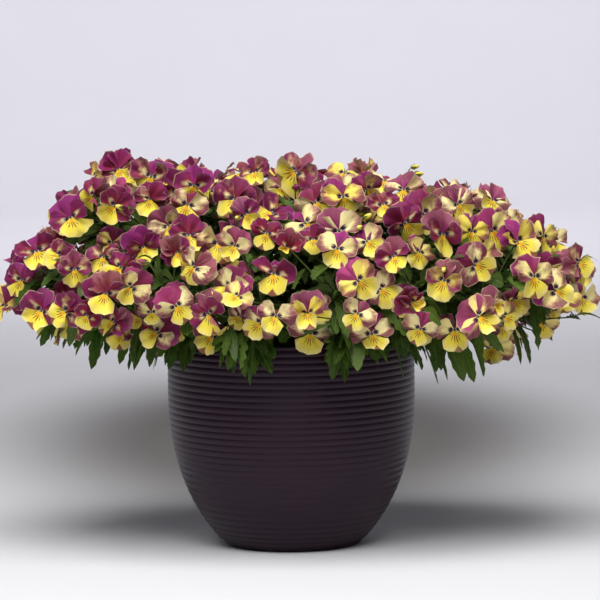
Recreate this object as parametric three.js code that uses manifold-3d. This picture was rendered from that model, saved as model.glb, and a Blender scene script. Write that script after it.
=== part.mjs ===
// Potted pansy planter: a ribbed, round-bellied patio pot filled with potting soil, in which seven bushy
// trailing pansies stand. Each plant sends up seven leafy shoots, and every shoot carries its leaves and its
// flowers on their stalks. Millimetres, +Z up, origin at the middle of the pot's flat foot, front towards -Y.
import * as THREE from "three";
import { mergeVertices } from "three/addons/utils/BufferGeometryUtils.js";
import Module from "manifold-3d";

// The pot
const POT_HEIGHT = 255;
const POT_WIDEST = 150; // greatest outer radius
const POT_WIDEST_AT = 178; // height where the belly is widest
const POT_FOOT = 81; // radius of the flat foot
const POT_WALL = 4.5;
const POT_FLOOR = 6;
const POT_SIDES = 20;
const RIM_STARTS_AT = 225; // the wall turns in a little from here to the rim
const RIM_TURN_IN = 2;
const RIM_ROUND = 6; // height over which the rim's inner edge is rounded
const WALL_LEVELS = [25, 60, 110, 165, 229]; // heights where the wall's inner face bends
const FOOT_PAD = 22; // flat pad in the middle of the foot
const FOOT_RECESS = [26, 62]; // ring of the foot that stands clear of the ground
const FOOT_SLOPE = 4; // width of the slope from the recess down to the foot
const RECESS_DEPTH = 3;
const DRAIN_HOLES = 5;
const DRAIN_RADIUS = 6;
const DRAIN_CIRCLE = 44;
const HOLE_SIDES = 8;

// Its ribs, closer near the rim and wider apart round the lower belly
const RIB_DEPTH = 0.9;
const RIB_PITCH = 7.6;
const RIB_SPREAD = 3;
const RIB_SPREAD_AT = 65;
const RIB_SPREAD_RANGE = 35;
const RIBS_END_AT = 3;
const PLAIN_RIM = 5; // smooth band above the first rib

// The soil, and the holes in it that the plants stand in
const SOIL_TOP = 233;
const SOIL_CROWN = 4; // the soil is this much higher in the middle
const SOIL_EDGE = 6; // and slopes down over this width at the wall
const CROWN_HOLE = 15;
const CROWN_DEPTH = 12;
const SEAT_GAP = 0.3; // between pieces that rest on each other
const WALL_GAP = 0.4; // between the soil and the pot's wall

// The plants: one in the middle and six round it
const PLANT_RING = 78;
const RING_TURNS = [0, 60, 120, 180, 240, 300];
const SHOOT_RING = 8; // shoots of one plant stand on this ring
const SHOOTS_A_PLANT = 7;
const STEM_RADIUS = [2.8, 2.2]; // at the foot and at the tip
const STEM_RISE = 30; // a stem starts straight up for about this far
const STEM_STEEP = 0.42; // and further by this share of its climb
const STEM_BEND = 0.6; // by half its way out it has risen by this share of its climb
const STEM_CLEARS = 52; // and passes at least this high over the soil
const STEM_SHARES = [0, 0.1, 0.32, 0.64, 1]; // where a stem's sections stand along it

// Where the shoots of the outer plants end and start: the polar angle of the tip and its turn from the
// plant's own direction, then the share of the ring and the turn at which the foot stands
const OUTER_SHOOTS = [
  [112, -17, 1, -28],
  [112, 17, 1, 28],
  [79, -22, 1, -85],
  [79, 0, 0, 0],
  [79, 22, 1, 85],
  [52, -15, 1, -148],
  [52, 15, 1, 148],
];
const MIDDLE_TIPS = 27; // polar angle of the tips round the middle plant
const MIDDLE_TURN = 30;

// The mound that the flowers cover
const MOUND_CENTRE_X = 10; // it leans a little to the right
const MOUND_HALF_X = 360;
const MOUND_HALF_Y = 240;
const MOUND_MIDDLE = 302; // height of its widest level
const MOUND_ABOVE = 155;
const MOUND_BELOW = 62;
const SHOULDER = 0.33; // the mound is this much fuller over its left shoulder
const SHOULDER_AT = -250;
const SHOULDER_WIDTH = 120;
const SAG = 0.85; // and it hangs this much deeper under its right shoulder
const SAG_AT = 250;
const SAG_WIDTH = 75;
const SHOOT_INSET = 40; // shoots end this far under the flowers

// The flowers. Pairs of values are for the front half of the mound and for the back
const FLOWER_SEED = 83;
const FLOWER_TRIES = 7000;
const FLOWER_LOWEST = -0.62; // cosine of the lowest polar angle that flowers reach
const FLOWER_SPACING = [34, 52];
const UNDERSIDE = -0.1; // below this cosine they are spaced as at the back
const FLOWER_WIDTH = [38, 53];
const FLOWER_DEPTH = 30; // how far a flower may sit inside the mound's surface
const FLOWER_MOST = 8; // on one shoot
const BACK_STARTS_AT = 60; // flowers further back than about this look backwards
const BACK_BLEND = 60;
const LOOK_OUT = [0.75, 1.2]; // how strongly a flower turns outwards
const LOOK_BACK = [-0.8, 0.3]; // and backwards, or forwards below 0
const LOOK_STRAY = 1.1;
const TILT = [-10, 34]; // degrees that a flower looks up
const TOP_TILT = 55; // and up to so many more on top
const TOP_STARTS_AT = -90;
const TOP_ENDS_AT = 210;
const TOP_SLOPES = [4, 2]; // how soon it is wholly on top, from the front and from behind
const ROLL = [-52, 52]; // degrees that a flower is turned in its own face
const ROLL_LEAN = 24; // and more towards the mound's ends, so that its lip points outwards
const FACE_REACH = 0.57; // petals reach so many widths from the throat
const FACE_DEPTH = 5; // and so far before and behind the flower's disc
const FACE_RINGS = [0.3, 0.7, 1.08];
const FACE_TURNS = Array.from({ length: 12 }, (_, k) => (Math.PI * k) / 6);
const CALYX = 8; // from the throat back to the stalk
const CALYX_RADIUS = 1.6;

// Their stalks
const STALK_RADIUS = 0.8;
const STALK_SHARES = Array.from({ length: 16 }, (_, k) => 0.25 + 0.049 * k); // where one may leave a stem
const STALK_SINKS = 0.3; // its end lies this far past the middle of the stem
const STALK_AHEAD = -0.12; // cosine of the sharpest turn from a stalk into its flower
const STALK_EASY = -0.5; // turns sharper than this count against a stalk
const STALK_UPHILL = 20; // and so does coming down to the flower
const STALK_LONGEST = 190;
const STEM_ROOM = 5.8; // between the middle of a stalk and that of another shoot's stem
const STALK_ROOM = 3.4; // and that of another stalk
const RIM_ROOM = [12, 6]; // kept inside and outside the pot's widest circle
const SAMPLES = Array.from({ length: 25 }, (_, k) => k / 25);

// The leaves
const LEAF_SEED = 910;
const LEAVES_A_SHOOT = 44; // places for leaves along a shoot
const LEAF_STRIDE = 17; // they are tried in steps of so many
const LEAVES_KEPT = [2, 4]; // until a shoot has so many, upright or hanging, that are clear of all else
const LEAF_LENGTH = [34, 58];
const LEAF_WIDTH = [0.24, 0.34]; // in lengths
const LEAF_DROOP = [0.25, 0.75];
const LEAF_SPAN = [0.3, 0.96]; // leaves grow on this part of a stem
const LEAF_AHEAD = 0.5; // how strongly a leaf turns along its stem
const LEAF_OUT = 0.35; // and outwards
const LEAF_HANGS = [0.3, -0.9]; // and further outwards and down where it hangs
const LEAF_FIRST = 1.1; // the lowest leaves are this much longer
const LEAF_DWINDLES = 0.35; // and lose this share of their length up the stem
const LEAF_SEED_STEP = 31;
const LEAF_CHECKS = [0.35, 0.7, 1]; // shares of a leaf's length at which it keeps clear of the pot
const LEAF_INSIDE = -10; // where it counts as inside the rim
const LEAF_OUTSIDE = 8; // and as outside
const LEAF_OVER_SOIL = 9;
const LEAF_OVER_RIM = 5;
const LEAF_THICKNESS = 0.9; // from the middle of the blade to either face
const GOLDEN_ANGLE = Math.PI * (3 - Math.sqrt(5));

const UP = new THREE.Vector3(0, 0, 1);
const FRONT = new THREE.Vector3(0, -1, 0);
const EASE = 0.35; // room kept between a leaf and the pieces of other shoots

// The outline of the five petals in widths of the flower, with how far each point stands forward: two upper
// petals, two side petals and the broad lower lip, anticlockwise from the notch at the top
const PETAL_OUTLINE = [
  [0, 0.33, -0.02],
  [-0.2, 0.53, -0.06],
  [-0.46, 0.37, -0.06],
  [-0.38, 0.16, 0],
  [-0.54, 0.05, 0.04],
  [-0.42, -0.22, 0.05],
  [-0.25, -0.47, 0.08],
  [0.25, -0.47, 0.08],
  [0.42, -0.22, 0.05],
  [0.54, 0.05, 0.04],
  [0.38, 0.16, 0],
  [0.46, 0.37, -0.06],
  [0.2, 0.53, -0.06],
];

// Half the outline of a toothed leaf: how far along it and how wide, in shares of its length and half width
const LEAF_OUTLINE = [
  [0.26, 0.85],
  [0.45, 0.66],
  [0.64, 0.97],
];
const LEAF_THICKEST = 0.22; // how far along it the blade is thickest
const LEAF_SINKS = 1; // its base lies this far past the middle of the stem

const wasm = await Module();
wasm.setup();

// Random numbers from 0 to 1 that are the same on every run
function randomSource(seed) {
  let state = seed;
  return () => {
    state = (state * 48271) % 2147483647;
    return state / 2147483647;
  };
}

const radians = (degrees) => (degrees * Math.PI) / 180;
const between = ([low, high], share) => low + (high - low) * share;
const along = (start, direction, distance) => start.clone().addScaledVector(direction, distance);

// A closed geometry as a solid
function solidOf(geometry) {
  const bare = geometry.clone();
  bare.deleteAttribute("normal");
  bare.deleteAttribute("uv");
  const merged = mergeVertices(bare, 1e-4);
  const mesh = new wasm.Mesh({
    numProp: 3,
    vertProperties: merged.attributes.position.array,
    triVerts: new Uint32Array(merged.index.array),
  });
  return new wasm.Manifold(mesh);
}

// A solid as a geometry
function geometryOf(solid) {
  const mesh = solid.getMesh();
  const geometry = new THREE.BufferGeometry();
  geometry.setAttribute("position", new THREE.BufferAttribute(mesh.vertProperties, 3));
  geometry.setIndex(new THREE.BufferAttribute(mesh.triVerts, 1));
  return geometry;
}

// A closed skin over a row of loops of points. A loop of one point closes its end to a tip, and a longer loop
// at either end is capped. All loops turn the same way and start on the same side.
function skin(loops) {
  const starts = loops.map((_, k) => loops.slice(0, k).flat().length);
  const index = [];
  for (let k = 0; k + 1 < loops.length; k += 1) {
    const [m, n] = [loops[k].length, loops[k + 1].length];
    const one = (i) => starts[k] + (i % m);
    const two = (j) => starts[k + 1] + (j % n);
    let i = 0;
    let j = 0;
    while ((m > 1 && i < m) || (n > 1 && j < n)) {
      if (m > 1 && i < m && (n === 1 || (i + 1) / m <= (j + 1) / n)) {
        index.push(one(i), one(i + 1), two(j));
        i += 1;
      } else {
        index.push(one(i), two(j + 1), two(j));
        j += 1;
      }
    }
  }
  const last = loops.length - 1;
  for (let i = 1; i + 1 < loops[0].length; i += 1) index.push(0, i + 1, i);
  for (let i = 1; i + 1 < loops[last].length; i += 1) {
    index.push(starts[last], starts[last] + i, starts[last] + i + 1);
  }
  const geometry = new THREE.BufferGeometry().setFromPoints(loops.flat());
  geometry.setIndex(index);
  return geometry;
}

// The solid in a skin, its faces pointing out whichever way the loops turn
function skinSolid(loops) {
  const solid = solidOf(skin(loops));
  if (solid.volume() > 0) return solid;
  return solidOf(skin(loops.map((loop) => [loop[0], ...loop.slice(1).reverse()])));
}

// Outer radius of the pot's wall at a height, without its ribs
function potRadius(z) {
  const bellyDepth = POT_WIDEST_AT / Math.sqrt(1 - (POT_FOOT / POT_WIDEST) ** 2);
  const below = Math.max(0, POT_WIDEST_AT - z) / bellyDepth;
  const turn = Math.max(0, z - RIM_STARTS_AT) / (POT_HEIGHT - RIM_STARTS_AT);
  return POT_WIDEST * Math.sqrt(1 - below * below) - RIM_TURN_IN * turn * turn;
}

// Heights of the grooves between the ribs, from the lowest up, spaced along the slope of the wall
function grooveHeights() {
  const heights = [];
  let z = POT_HEIGHT - PLAIN_RIM;
  while (z > RIBS_END_AT) {
    heights.unshift(z);
    const slope = potRadius(z) - potRadius(z - 1);
    const spread = Math.exp(-(((z - RIB_SPREAD_AT) / RIB_SPREAD_RANGE) ** 2));
    z -= (RIB_PITCH + RIB_SPREAD * spread) / Math.hypot(1, slope);
  }
  return heights;
}

// A profile of radii and heights turned round the pot's axis
function turned(profile) {
  const points = profile.map(([r, z]) => new THREE.Vector2(r, z));
  return new THREE.LatheGeometry(points, POT_SIDES).rotateX(Math.PI / 2);
}

// An upright eight-sided hole
function holeSolid(radius, depth, x, y, bottom) {
  const hole = new THREE.CylinderGeometry(radius, radius, depth, HOLE_SIDES).rotateX(Math.PI / 2);
  return solidOf(hole.translate(x, y, bottom + depth / 2));
}

function potSolid() {
  const grooves = grooveHeights();
  const ribs = grooves.slice(1).flatMap((top, k) => {
    const crest = (grooves[k] + top) / 2;
    return [
      [potRadius(crest), crest],
      [potRadius(top) - RIB_DEPTH, top],
    ];
  });
  const inside = [POT_FLOOR, ...WALL_LEVELS, POT_HEIGHT - RIM_ROUND].reverse();
  const profile = [
    [0, 0],
    [FOOT_PAD, 0],
    [FOOT_RECESS[0], RECESS_DEPTH],
    [FOOT_RECESS[1], RECESS_DEPTH],
    [FOOT_RECESS[1] + FOOT_SLOPE, 0],
    [POT_FOOT, 0],
    [potRadius(grooves[0]) - RIB_DEPTH, grooves[0]],
    ...ribs,
    [potRadius(POT_HEIGHT), POT_HEIGHT - PLAIN_RIM / 2],
    [potRadius(POT_HEIGHT) - POT_WALL / 2, POT_HEIGHT],
    ...inside.map((z) => [potRadius(z) - POT_WALL, z]),
    [0, POT_FLOOR],
  ];
  let pot = solidOf(turned(profile));
  for (let k = 0; k < DRAIN_HOLES; k += 1) {
    const angle = (2 * Math.PI * k) / DRAIN_HOLES;
    const [x, y] = [DRAIN_CIRCLE * Math.cos(angle), DRAIN_CIRCLE * Math.sin(angle)];
    pot = pot.subtract(holeSolid(DRAIN_RADIUS, 3 * POT_FLOOR, x, y, -POT_FLOOR));
  }
  return pot;
}

// Where the plants stand, at the height of the soil
function plantCentres() {
  const ring = RING_TURNS.map((turn) => {
    const angle = radians(turn);
    return new THREE.Vector3(PLANT_RING * Math.cos(angle), PLANT_RING * Math.sin(angle), SOIL_TOP);
  });
  return [new THREE.Vector3(0, 0, SOIL_TOP), ...ring];
}

function soilSolid() {
  const radius = (z) => potRadius(z) - POT_WALL - WALL_GAP;
  const profile = [
    [0, POT_FLOOR + SEAT_GAP],
    [radius(POT_FLOOR), POT_FLOOR + SEAT_GAP],
    ...WALL_LEVELS.map((z) => [radius(z), z]),
    [radius(SOIL_TOP) - SOIL_EDGE, SOIL_TOP],
    [POT_WIDEST / 2, SOIL_TOP + SOIL_CROWN / 2],
    [0, SOIL_TOP + SOIL_CROWN],
  ];
  return plantCentres().reduce((soil, { x, y }) => {
    const depth = CROWN_DEPTH + 2 * SOIL_CROWN;
    return soil.subtract(holeSolid(CROWN_HOLE, depth, x, y, SOIL_TOP - CROWN_DEPTH));
  }, solidOf(turned(profile)));
}

// A point on the mound's surface, or inset from it, by its polar angle from straight up and its azimuth
function moundPoint(polar, azimuth, inset) {
  const out = Math.sin(polar);
  const rise = Math.cos(polar);
  const x = MOUND_CENTRE_X + (MOUND_HALF_X - inset) * out * Math.cos(azimuth);
  const y = (MOUND_HALF_Y - inset) * out * Math.sin(azimuth);
  const fuller = 1 + SHOULDER * Math.exp(-(((x - SHOULDER_AT) / SHOULDER_WIDTH) ** 2));
  const sagging = 1 + SAG * Math.exp(-(((x - SAG_AT) / SAG_WIDTH) ** 2));
  const reach = rise > 0 ? MOUND_ABOVE * fuller - inset : MOUND_BELOW * sagging - inset / 2;
  return new THREE.Vector3(x, y, MOUND_MIDDLE + reach * rise);
}

// Every shoot's stem as a curve from its hole in the soil to its tip under the flowers
function shootCurves() {
  const middle = RING_TURNS.map((turn) => [MIDDLE_TIPS, turn + MIDDLE_TURN, 1, turn + MIDDLE_TURN]);
  const outer = RING_TURNS.map((turn) =>
    OUTER_SHOOTS.map(([polar, tip, ring, foot]) => [polar, turn + tip, ring, turn + foot]),
  );
  const centres = plantCentres();
  return [[[0, 0, 0, 0], ...middle], ...outer].flatMap((shoots, plant) =>
    shoots.map(([polar, azimuth, ring, turn]) => {
      const tip = moundPoint(radians(polar), radians(azimuth), SHOOT_INSET);
      const foot = centres[plant].clone();
      foot.x += ring * SHOOT_RING * Math.cos(radians(turn));
      foot.y += ring * SHOOT_RING * Math.sin(radians(turn));
      foot.z += SEAT_GAP - CROWN_DEPTH;
      const rise = along(foot, UP, STEM_RISE + STEM_STEEP * (tip.z - foot.z));
      const bend = foot.clone().lerp(tip, 0.5);
      bend.z = Math.max(foot.z + STEM_BEND * (tip.z - foot.z), SOIL_TOP + STEM_CLEARS);
      return new THREE.CubicBezierCurve3(foot, rise, bend, tip);
    }),
  );
}

// A point in the middle of a stem, which runs straight between its sections
function stemPoint(curve, share) {
  const next = Math.max(1, STEM_SHARES.findIndex((end) => end >= share));
  const [low, high] = [STEM_SHARES[next - 1], STEM_SHARES[next]];
  return curve.getPoint(low).lerp(curve.getPoint(high), (share - low) / (high - low));
}

// From 0 at the front to 1 on top of the mound and back to 0 behind
function onTop(y) {
  const share = (y - TOP_STARTS_AT) / (TOP_ENDS_AT - TOP_STARTS_AT);
  return Math.max(0, Math.min(1, TOP_SLOPES[0] * share, TOP_SLOPES[1] * (1 - share)));
}

// Where each flower is, which way it looks, and the shoot and the foot of its stalk. The flowers of the front
// half look at the front and those behind look back, and on top they look up more.
function flowers(curves) {
  const random = randomSource(FLOWER_SEED);
  const stems = curves.flatMap((curve) => SAMPLES.map((share) => stemPoint(curve, share)));
  const placed = [];
  for (let k = 0; k < FLOWER_TRIES; k += 1) {
    const draws = Array.from({ length: 9 }, random);
    const rise = between([FLOWER_LOWEST, 1], draws[0]);
    const at = moundPoint(Math.acos(rise), 2 * Math.PI * draws[1], FLOWER_DEPTH * draws[2]);
    const half = at.y > BACK_STARTS_AT + BACK_BLEND * (draws[3] - 0.5) ? 1 : 0;
    const heading = new THREE.Vector3(at.x / MOUND_HALF_X ** 2, at.y / MOUND_HALF_Y ** 2, 0);
    heading.setLength(LOOK_OUT[half]);
    heading.x += LOOK_STRAY * (draws[4] - 0.5);
    heading.y += LOOK_STRAY * (draws[5] - 0.5) + LOOK_BACK[half];
    const tilt = radians(between(TILT, draws[6]) + TOP_TILT * Math.max(0, rise) ** 2 * onTop(at.y));
    const facing = along(heading.setLength(Math.cos(tilt)), UP, Math.sin(tilt));
    const roll = radians(between(ROLL, draws[8]) + (ROLL_LEAN * at.x) / MOUND_HALF_X);
    const flower = { at, facing, width: between(FLOWER_WIDTH, draws[7]), roll };
    const spacing = FLOWER_SPACING[rise < UNDERSIDE ? 1 : half];
    const clear = placed.every((other) => clearOf(flower, other, spacing));
    if (clear && !stems.some((point) => inFace(flower, point))) placed.push(flower);
  }
  return withStalks(placed, curves);
}

// Two flowers are clear when they are apart and neither one's petals come through the other's
function clearOf(one, two, spacing) {
  const apart = one.at.distanceTo(two.at);
  if (apart < spacing) return false;
  if (apart > FACE_REACH * (one.width + two.width) + FACE_DEPTH) return true;
  return !pierces(one, two) && !pierces(two, one);
}

// Whether points over the face of one flower are in the space of the other
function pierces(one, two) {
  const [across, upright] = faceAxes(one);
  return FACE_TURNS.some((angle) =>
    FACE_RINGS.some((ring) => {
      const radius = (ring * one.width) / 2;
      const point = along(one.at, across, radius * Math.cos(angle));
      return inFace(two, point.addScaledVector(upright, radius * Math.sin(angle)));
    }),
  );
}

// Whether a point is in a flower's space: a thick disc with a cone behind it
function inFace(flower, point) {
  const apart = point.clone().sub(flower.at);
  const height = apart.dot(flower.facing);
  const share = Math.sqrt(Math.max(0, apart.lengthSq() - height * height)) / (FACE_REACH * flower.width);
  return share < 1 && height < FACE_DEPTH && height > -FACE_DEPTH - CALYX * (1 - share);
}

// The flower's own directions across and up its face
function faceAxes({ facing, roll }) {
  const upright = along(UP, facing, -facing.z).normalize();
  const across = upright.clone().cross(facing);
  const turn = (from, to, angle) => along(from.clone().multiplyScalar(Math.cos(angle)), to, Math.sin(angle));
  return [turn(across, upright, roll), turn(upright, across, -roll)];
}

const calyxPoint = (flower) => along(flower.at, flower.facing, -CALYX);

// Gives each flower the easiest way down to a shoot that is clear of all else, and leaves out one with none
function withStalks(placed, curves) {
  const feet = curves.flatMap((curve, shoot) =>
    STALK_SHARES.map((share) => ({ shoot, at: stemPoint(curve, share) })),
  );
  const lines = curves.flatMap((curve, shoot) =>
    STEM_SHARES.slice(1).map((share, k) => {
      const ends = [curve.getPoint(STEM_SHARES[k]), curve.getPoint(share)];
      return { shoot, ends, room: STEM_ROOM };
    }),
  );
  const carried = curves.map(() => 0);
  return placed.filter((flower) => {
    const ways = feet
      .map((foot) => ({ ...foot, cost: stalkCost(flower, foot.at) }))
      .filter((foot) => foot.cost < STALK_LONGEST && carried[foot.shoot] < FLOWER_MOST)
      .sort((one, two) => one.cost - two.cost);
    const foot = ways.find((way) => openWay(flower, way, placed, lines));
    if (!foot) return false;
    carried[foot.shoot] += 1;
    flower.shoot = foot.shoot;
    flower.foot = foot.at;
    lines.push({ shoot: null, ends: [calyxPoint(flower), foot.at], room: STALK_ROOM });
    return true;
  });
}

// How hard a stalk is to grow from a point up behind the flower: long ones, and those that come from before it
function stalkCost(flower, foot) {
  const reach = foot.clone().sub(calyxPoint(flower));
  const length = reach.length();
  const ahead = reach.dot(flower.facing) / length;
  if (ahead > STALK_AHEAD) return Infinity;
  return length * (1 + 2 * Math.max(0, ahead - STALK_EASY)) + (reach.z > 0 ? STALK_UPHILL : 0);
}

// Whether a stalk from this foot keeps clear of the pot, of the other flowers, and of stems and stalks
function openWay(flower, foot, placed, lines) {
  const back = calyxPoint(flower);
  return SAMPLES.every((share) => {
    const point = back.clone().lerp(foot.at, share);
    const out = Math.hypot(point.x, point.y) - POT_WIDEST;
    if (point.z < POT_HEIGHT + RIM_ROOM[1] && out > -RIM_ROOM[0] && out < RIM_ROOM[1]) return false;
    if (placed.some((other) => other !== flower && inFace(other, point))) return false;
    return lines.every((line) => line.shoot === foot.shoot || apartFrom(point, line.ends) > line.room);
  });
}

// How far a point is from the line between two ends
function apartFrom(point, ends) {
  const span = ends[1].clone().sub(ends[0]);
  const share = point.clone().sub(ends[0]).dot(span) / span.lengthSq();
  return point.distanceTo(along(ends[0], span, Math.min(1, Math.max(0, share))));
}

// Three points round a middle, square to a direction
function triangle(middle, direction, radius) {
  const side = Math.abs(direction.z) < 0.9 ? UP : FRONT;
  const across = side.clone().cross(direction).normalize();
  const upright = direction.clone().cross(across);
  return [0, 1, 2].map((k) => {
    const angle = (2 * Math.PI * k) / 3;
    return along(along(middle, across, radius * Math.cos(angle)), upright, radius * Math.sin(angle));
  });
}

function stemSolid(curve) {
  const sections = STEM_SHARES.map((share) =>
    triangle(curve.getPoint(share), curve.getTangent(share), between(STEM_RADIUS, share)),
  );
  return skinSolid(sections);
}

// A flower: five petals round the throat, with the calyx behind them and the stalk down into the stem
function flowerSolid(flower) {
  const [across, upright] = faceAxes(flower);
  const place = (x, y, z) => along(along(along(flower.at, across, x), upright, y), flower.facing, z);
  const rim = PETAL_OUTLINE.map(([x, y, z]) => place(flower.width * x, flower.width * y, flower.width * z));
  const back = calyxPoint(flower);
  const stalk = flower.foot.clone().sub(back).normalize();
  const ring = (middle, radius) =>
    [5, 9, 13].map((sixths) => {
      const angle = (Math.PI * sixths) / 6;
      const corner = along(across.clone().multiplyScalar(Math.cos(angle)), upright, Math.sin(angle));
      return along(middle, along(corner, stalk, -corner.dot(stalk)).normalize(), radius);
    });
  const root = along(flower.foot, stalk, STALK_SINKS);
  return skinSolid([[place(0, 0, -1)], rim, ring(back, CALYX_RADIUS), ring(root, STALK_RADIUS)]);
}

// The shoots that come out low over the rim let their leaves hang
const hangs = (curve) => curve.v3.z < MOUND_MIDDLE;

// Every leaf of a shoot by its base on the stem, its direction and its size, in a spiral up the stem
function leavesOf(curve, shoot) {
  const random = randomSource(LEAF_SEED + LEAF_SEED_STEP * shoot);
  const leaves = [];
  for (let k = 0; k < LEAVES_A_SHOOT; k += 1) {
    const draws = Array.from({ length: 4 }, random);
    const share = between(LEAF_SPAN, (k + draws[0]) / LEAVES_A_SHOOT);
    const base = stemPoint(curve, share);
    const direction = curve.getTangent(share);
    const outward = new THREE.Vector3(base.x, base.y, 0).normalize();
    const across = outward.clone().cross(direction).normalize();
    const upright = direction.clone().cross(across);
    const turn = GOLDEN_ANGLE * k;
    const heading = along(across.multiplyScalar(Math.cos(turn)), upright, Math.sin(turn));
    heading.addScaledVector(direction, LEAF_AHEAD).addScaledVector(outward, LEAF_OUT);
    if (hangs(curve)) heading.addScaledVector(outward, LEAF_HANGS[0]).addScaledVector(UP, LEAF_HANGS[1]);
    const length = between(LEAF_LENGTH, draws[1]) * (LEAF_FIRST - LEAF_DWINDLES * share);
    const width = length * between(LEAF_WIDTH, draws[3]);
    leaves.push({ base, heading: heading.normalize(), length, width, droop: between(LEAF_DROOP, draws[2]) });
  }
  return leaves.filter(clearOfPot);
}

// A point on the midrib, which bends down under the leaf's weight
function leafPoint(leaf, share) {
  const straight = along(leaf.base, leaf.heading, leaf.length * share);
  return along(straight, UP, -leaf.droop * leaf.length * share * share);
}

// A leaf keeps off the rim of the pot and above the soil
function clearOfPot(leaf) {
  return LEAF_CHECKS.every((share) => {
    const point = leafPoint(leaf, share);
    const out = Math.hypot(point.x, point.y) - POT_WIDEST;
    const lowest = out < LEAF_INSIDE ? SOIL_TOP + LEAF_OVER_SOIL : POT_HEIGHT + LEAF_OVER_RIM;
    return out > LEAF_OUTSIDE || point.z > lowest;
  });
}

// A leaf's toothed blade, thickest over its midrib, and made larger all round by an ease
function leafSolid(leaf, ease) {
  const side = leaf.heading.clone().cross(UP).normalize();
  const top = side.clone().cross(leaf.heading);
  const edge = ([share, across]) => along(leafPoint(leaf, share), side, across * (leaf.width / 2 + ease));
  const left = LEAF_OUTLINE.map(edge);
  const right = LEAF_OUTLINE.map(([share, across]) => edge([share, -across])).reverse();
  const rim = [along(leaf.base, leaf.heading, -LEAF_SINKS), ...left, leafPoint(leaf, 1), ...right];
  const middle = leafPoint(leaf, LEAF_THICKEST);
  const half = LEAF_THICKNESS + ease;
  return skinSolid([[along(middle, top, half)], rim, [along(middle, top, -half)]]);
}

// Keeps every piece that has been placed, so that a leaf can grow clear of all but its own stem
class Thicket {
  pieces = [];

  add(solid, stemOf) {
    this.pieces.push({ solid, stemOf, box: solid.boundingBox() });
  }

  crosses(solid, shoot) {
    const box = solid.boundingBox();
    return this.pieces.some((piece) => {
      const near = [0, 1, 2].every((k) => box.min[k] < piece.box.max[k] && piece.box.min[k] < box.max[k]);
      return near && piece.stemOf !== shoot && solid.intersect(piece.solid).volume() > 0;
    });
  }
}

const thicket = new Thicket();
const pot = potSolid();
const soil = soilSolid();
thicket.add(pot);
thicket.add(soil);

const curves = shootCurves();
const shoots = curves.map((curve, shoot) => {
  const stem = stemSolid(curve);
  thicket.add(stem, shoot);
  return [stem];
});
for (const flower of flowers(curves)) {
  const solid = flowerSolid(flower);
  thicket.add(solid);
  shoots[flower.shoot].push(solid);
}
curves.forEach((curve, shoot) => {
  const leaves = leavesOf(curve, shoot);
  let wanted = LEAVES_KEPT[hangs(curve) ? 1 : 0];
  for (let k = 1; k <= leaves.length && wanted > 0; k += 1) {
    const leaf = leaves[(LEAF_STRIDE * k) % leaves.length];
    if (thicket.crosses(leafSolid(leaf, EASE), shoot)) continue;
    const solid = leafSolid(leaf, 0);
    thicket.add(solid);
    shoots[shoot].push(solid);
    wanted -= 1;
  }
});

const planter = new THREE.Group();
function addPiece(name, solid, colour, roughness) {
  const material = new THREE.MeshStandardMaterial({ color: colour, roughness, metalness: 0 });
  const mesh = new THREE.Mesh(geometryOf(solid), material);
  mesh.name = name;
  planter.add(mesh);
}
addPiece("pot", pot, 0x2b2029, 0.55);
addPiece("potting_soil", soil, 0x2c2119, 1);
shoots.forEach((pieces, shoot) => {
  const plant = Math.floor(shoot / SHOOTS_A_PLANT) + 1;
  const own = (shoot % SHOOTS_A_PLANT) + 1;
  addPiece(`plant_${plant}_shoot_${own}`, wasm.Manifold.union(pieces), 0x4d7a2c, 0.6);
});

export default planter;
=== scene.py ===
"""Potted pansy planter: a ribbed, round-bellied patio pot with seven bushy trailing pansies in full flower.

Metres, +Z up, origin at the middle of the pot's foot, front towards -Y. The stems and flowers stand where one
seeded rule puts them, and leaves, stalks, buds and petals are grown on them from a few templates.
"""
import math
from collections import namedtuple
from functools import lru_cache
from types import SimpleNamespace

import bmesh
import bpy
import numpy as np
from bpy.props import FloatProperty, FloatVectorProperty, IntProperty, PointerProperty
from mathutils import Matrix, Vector, noise


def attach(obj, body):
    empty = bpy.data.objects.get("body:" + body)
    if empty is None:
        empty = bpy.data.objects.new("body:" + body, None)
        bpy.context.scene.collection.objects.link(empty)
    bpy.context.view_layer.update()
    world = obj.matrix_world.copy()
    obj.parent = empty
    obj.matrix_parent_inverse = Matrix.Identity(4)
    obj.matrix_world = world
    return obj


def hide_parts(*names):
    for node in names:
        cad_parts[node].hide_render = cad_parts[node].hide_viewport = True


bl_info = {
    "name": "Potted pansy planter",
    "version": (1, 0, 0),
    "blender": (4, 5, 0),
    "location": "3D View > Sidebar > Planter",
    "description": "A ribbed patio pot with seven trailing pansies in flower",
    "category": "Object",
}

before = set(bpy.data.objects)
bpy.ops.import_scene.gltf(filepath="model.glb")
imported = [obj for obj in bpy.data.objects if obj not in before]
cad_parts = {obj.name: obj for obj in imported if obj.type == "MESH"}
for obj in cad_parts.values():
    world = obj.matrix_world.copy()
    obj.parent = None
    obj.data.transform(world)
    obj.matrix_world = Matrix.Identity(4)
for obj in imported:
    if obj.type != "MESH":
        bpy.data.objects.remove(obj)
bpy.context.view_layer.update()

MM = 0.001
UP = np.array((0.0, 0.0, 1.0))
BODY = "root"

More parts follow.
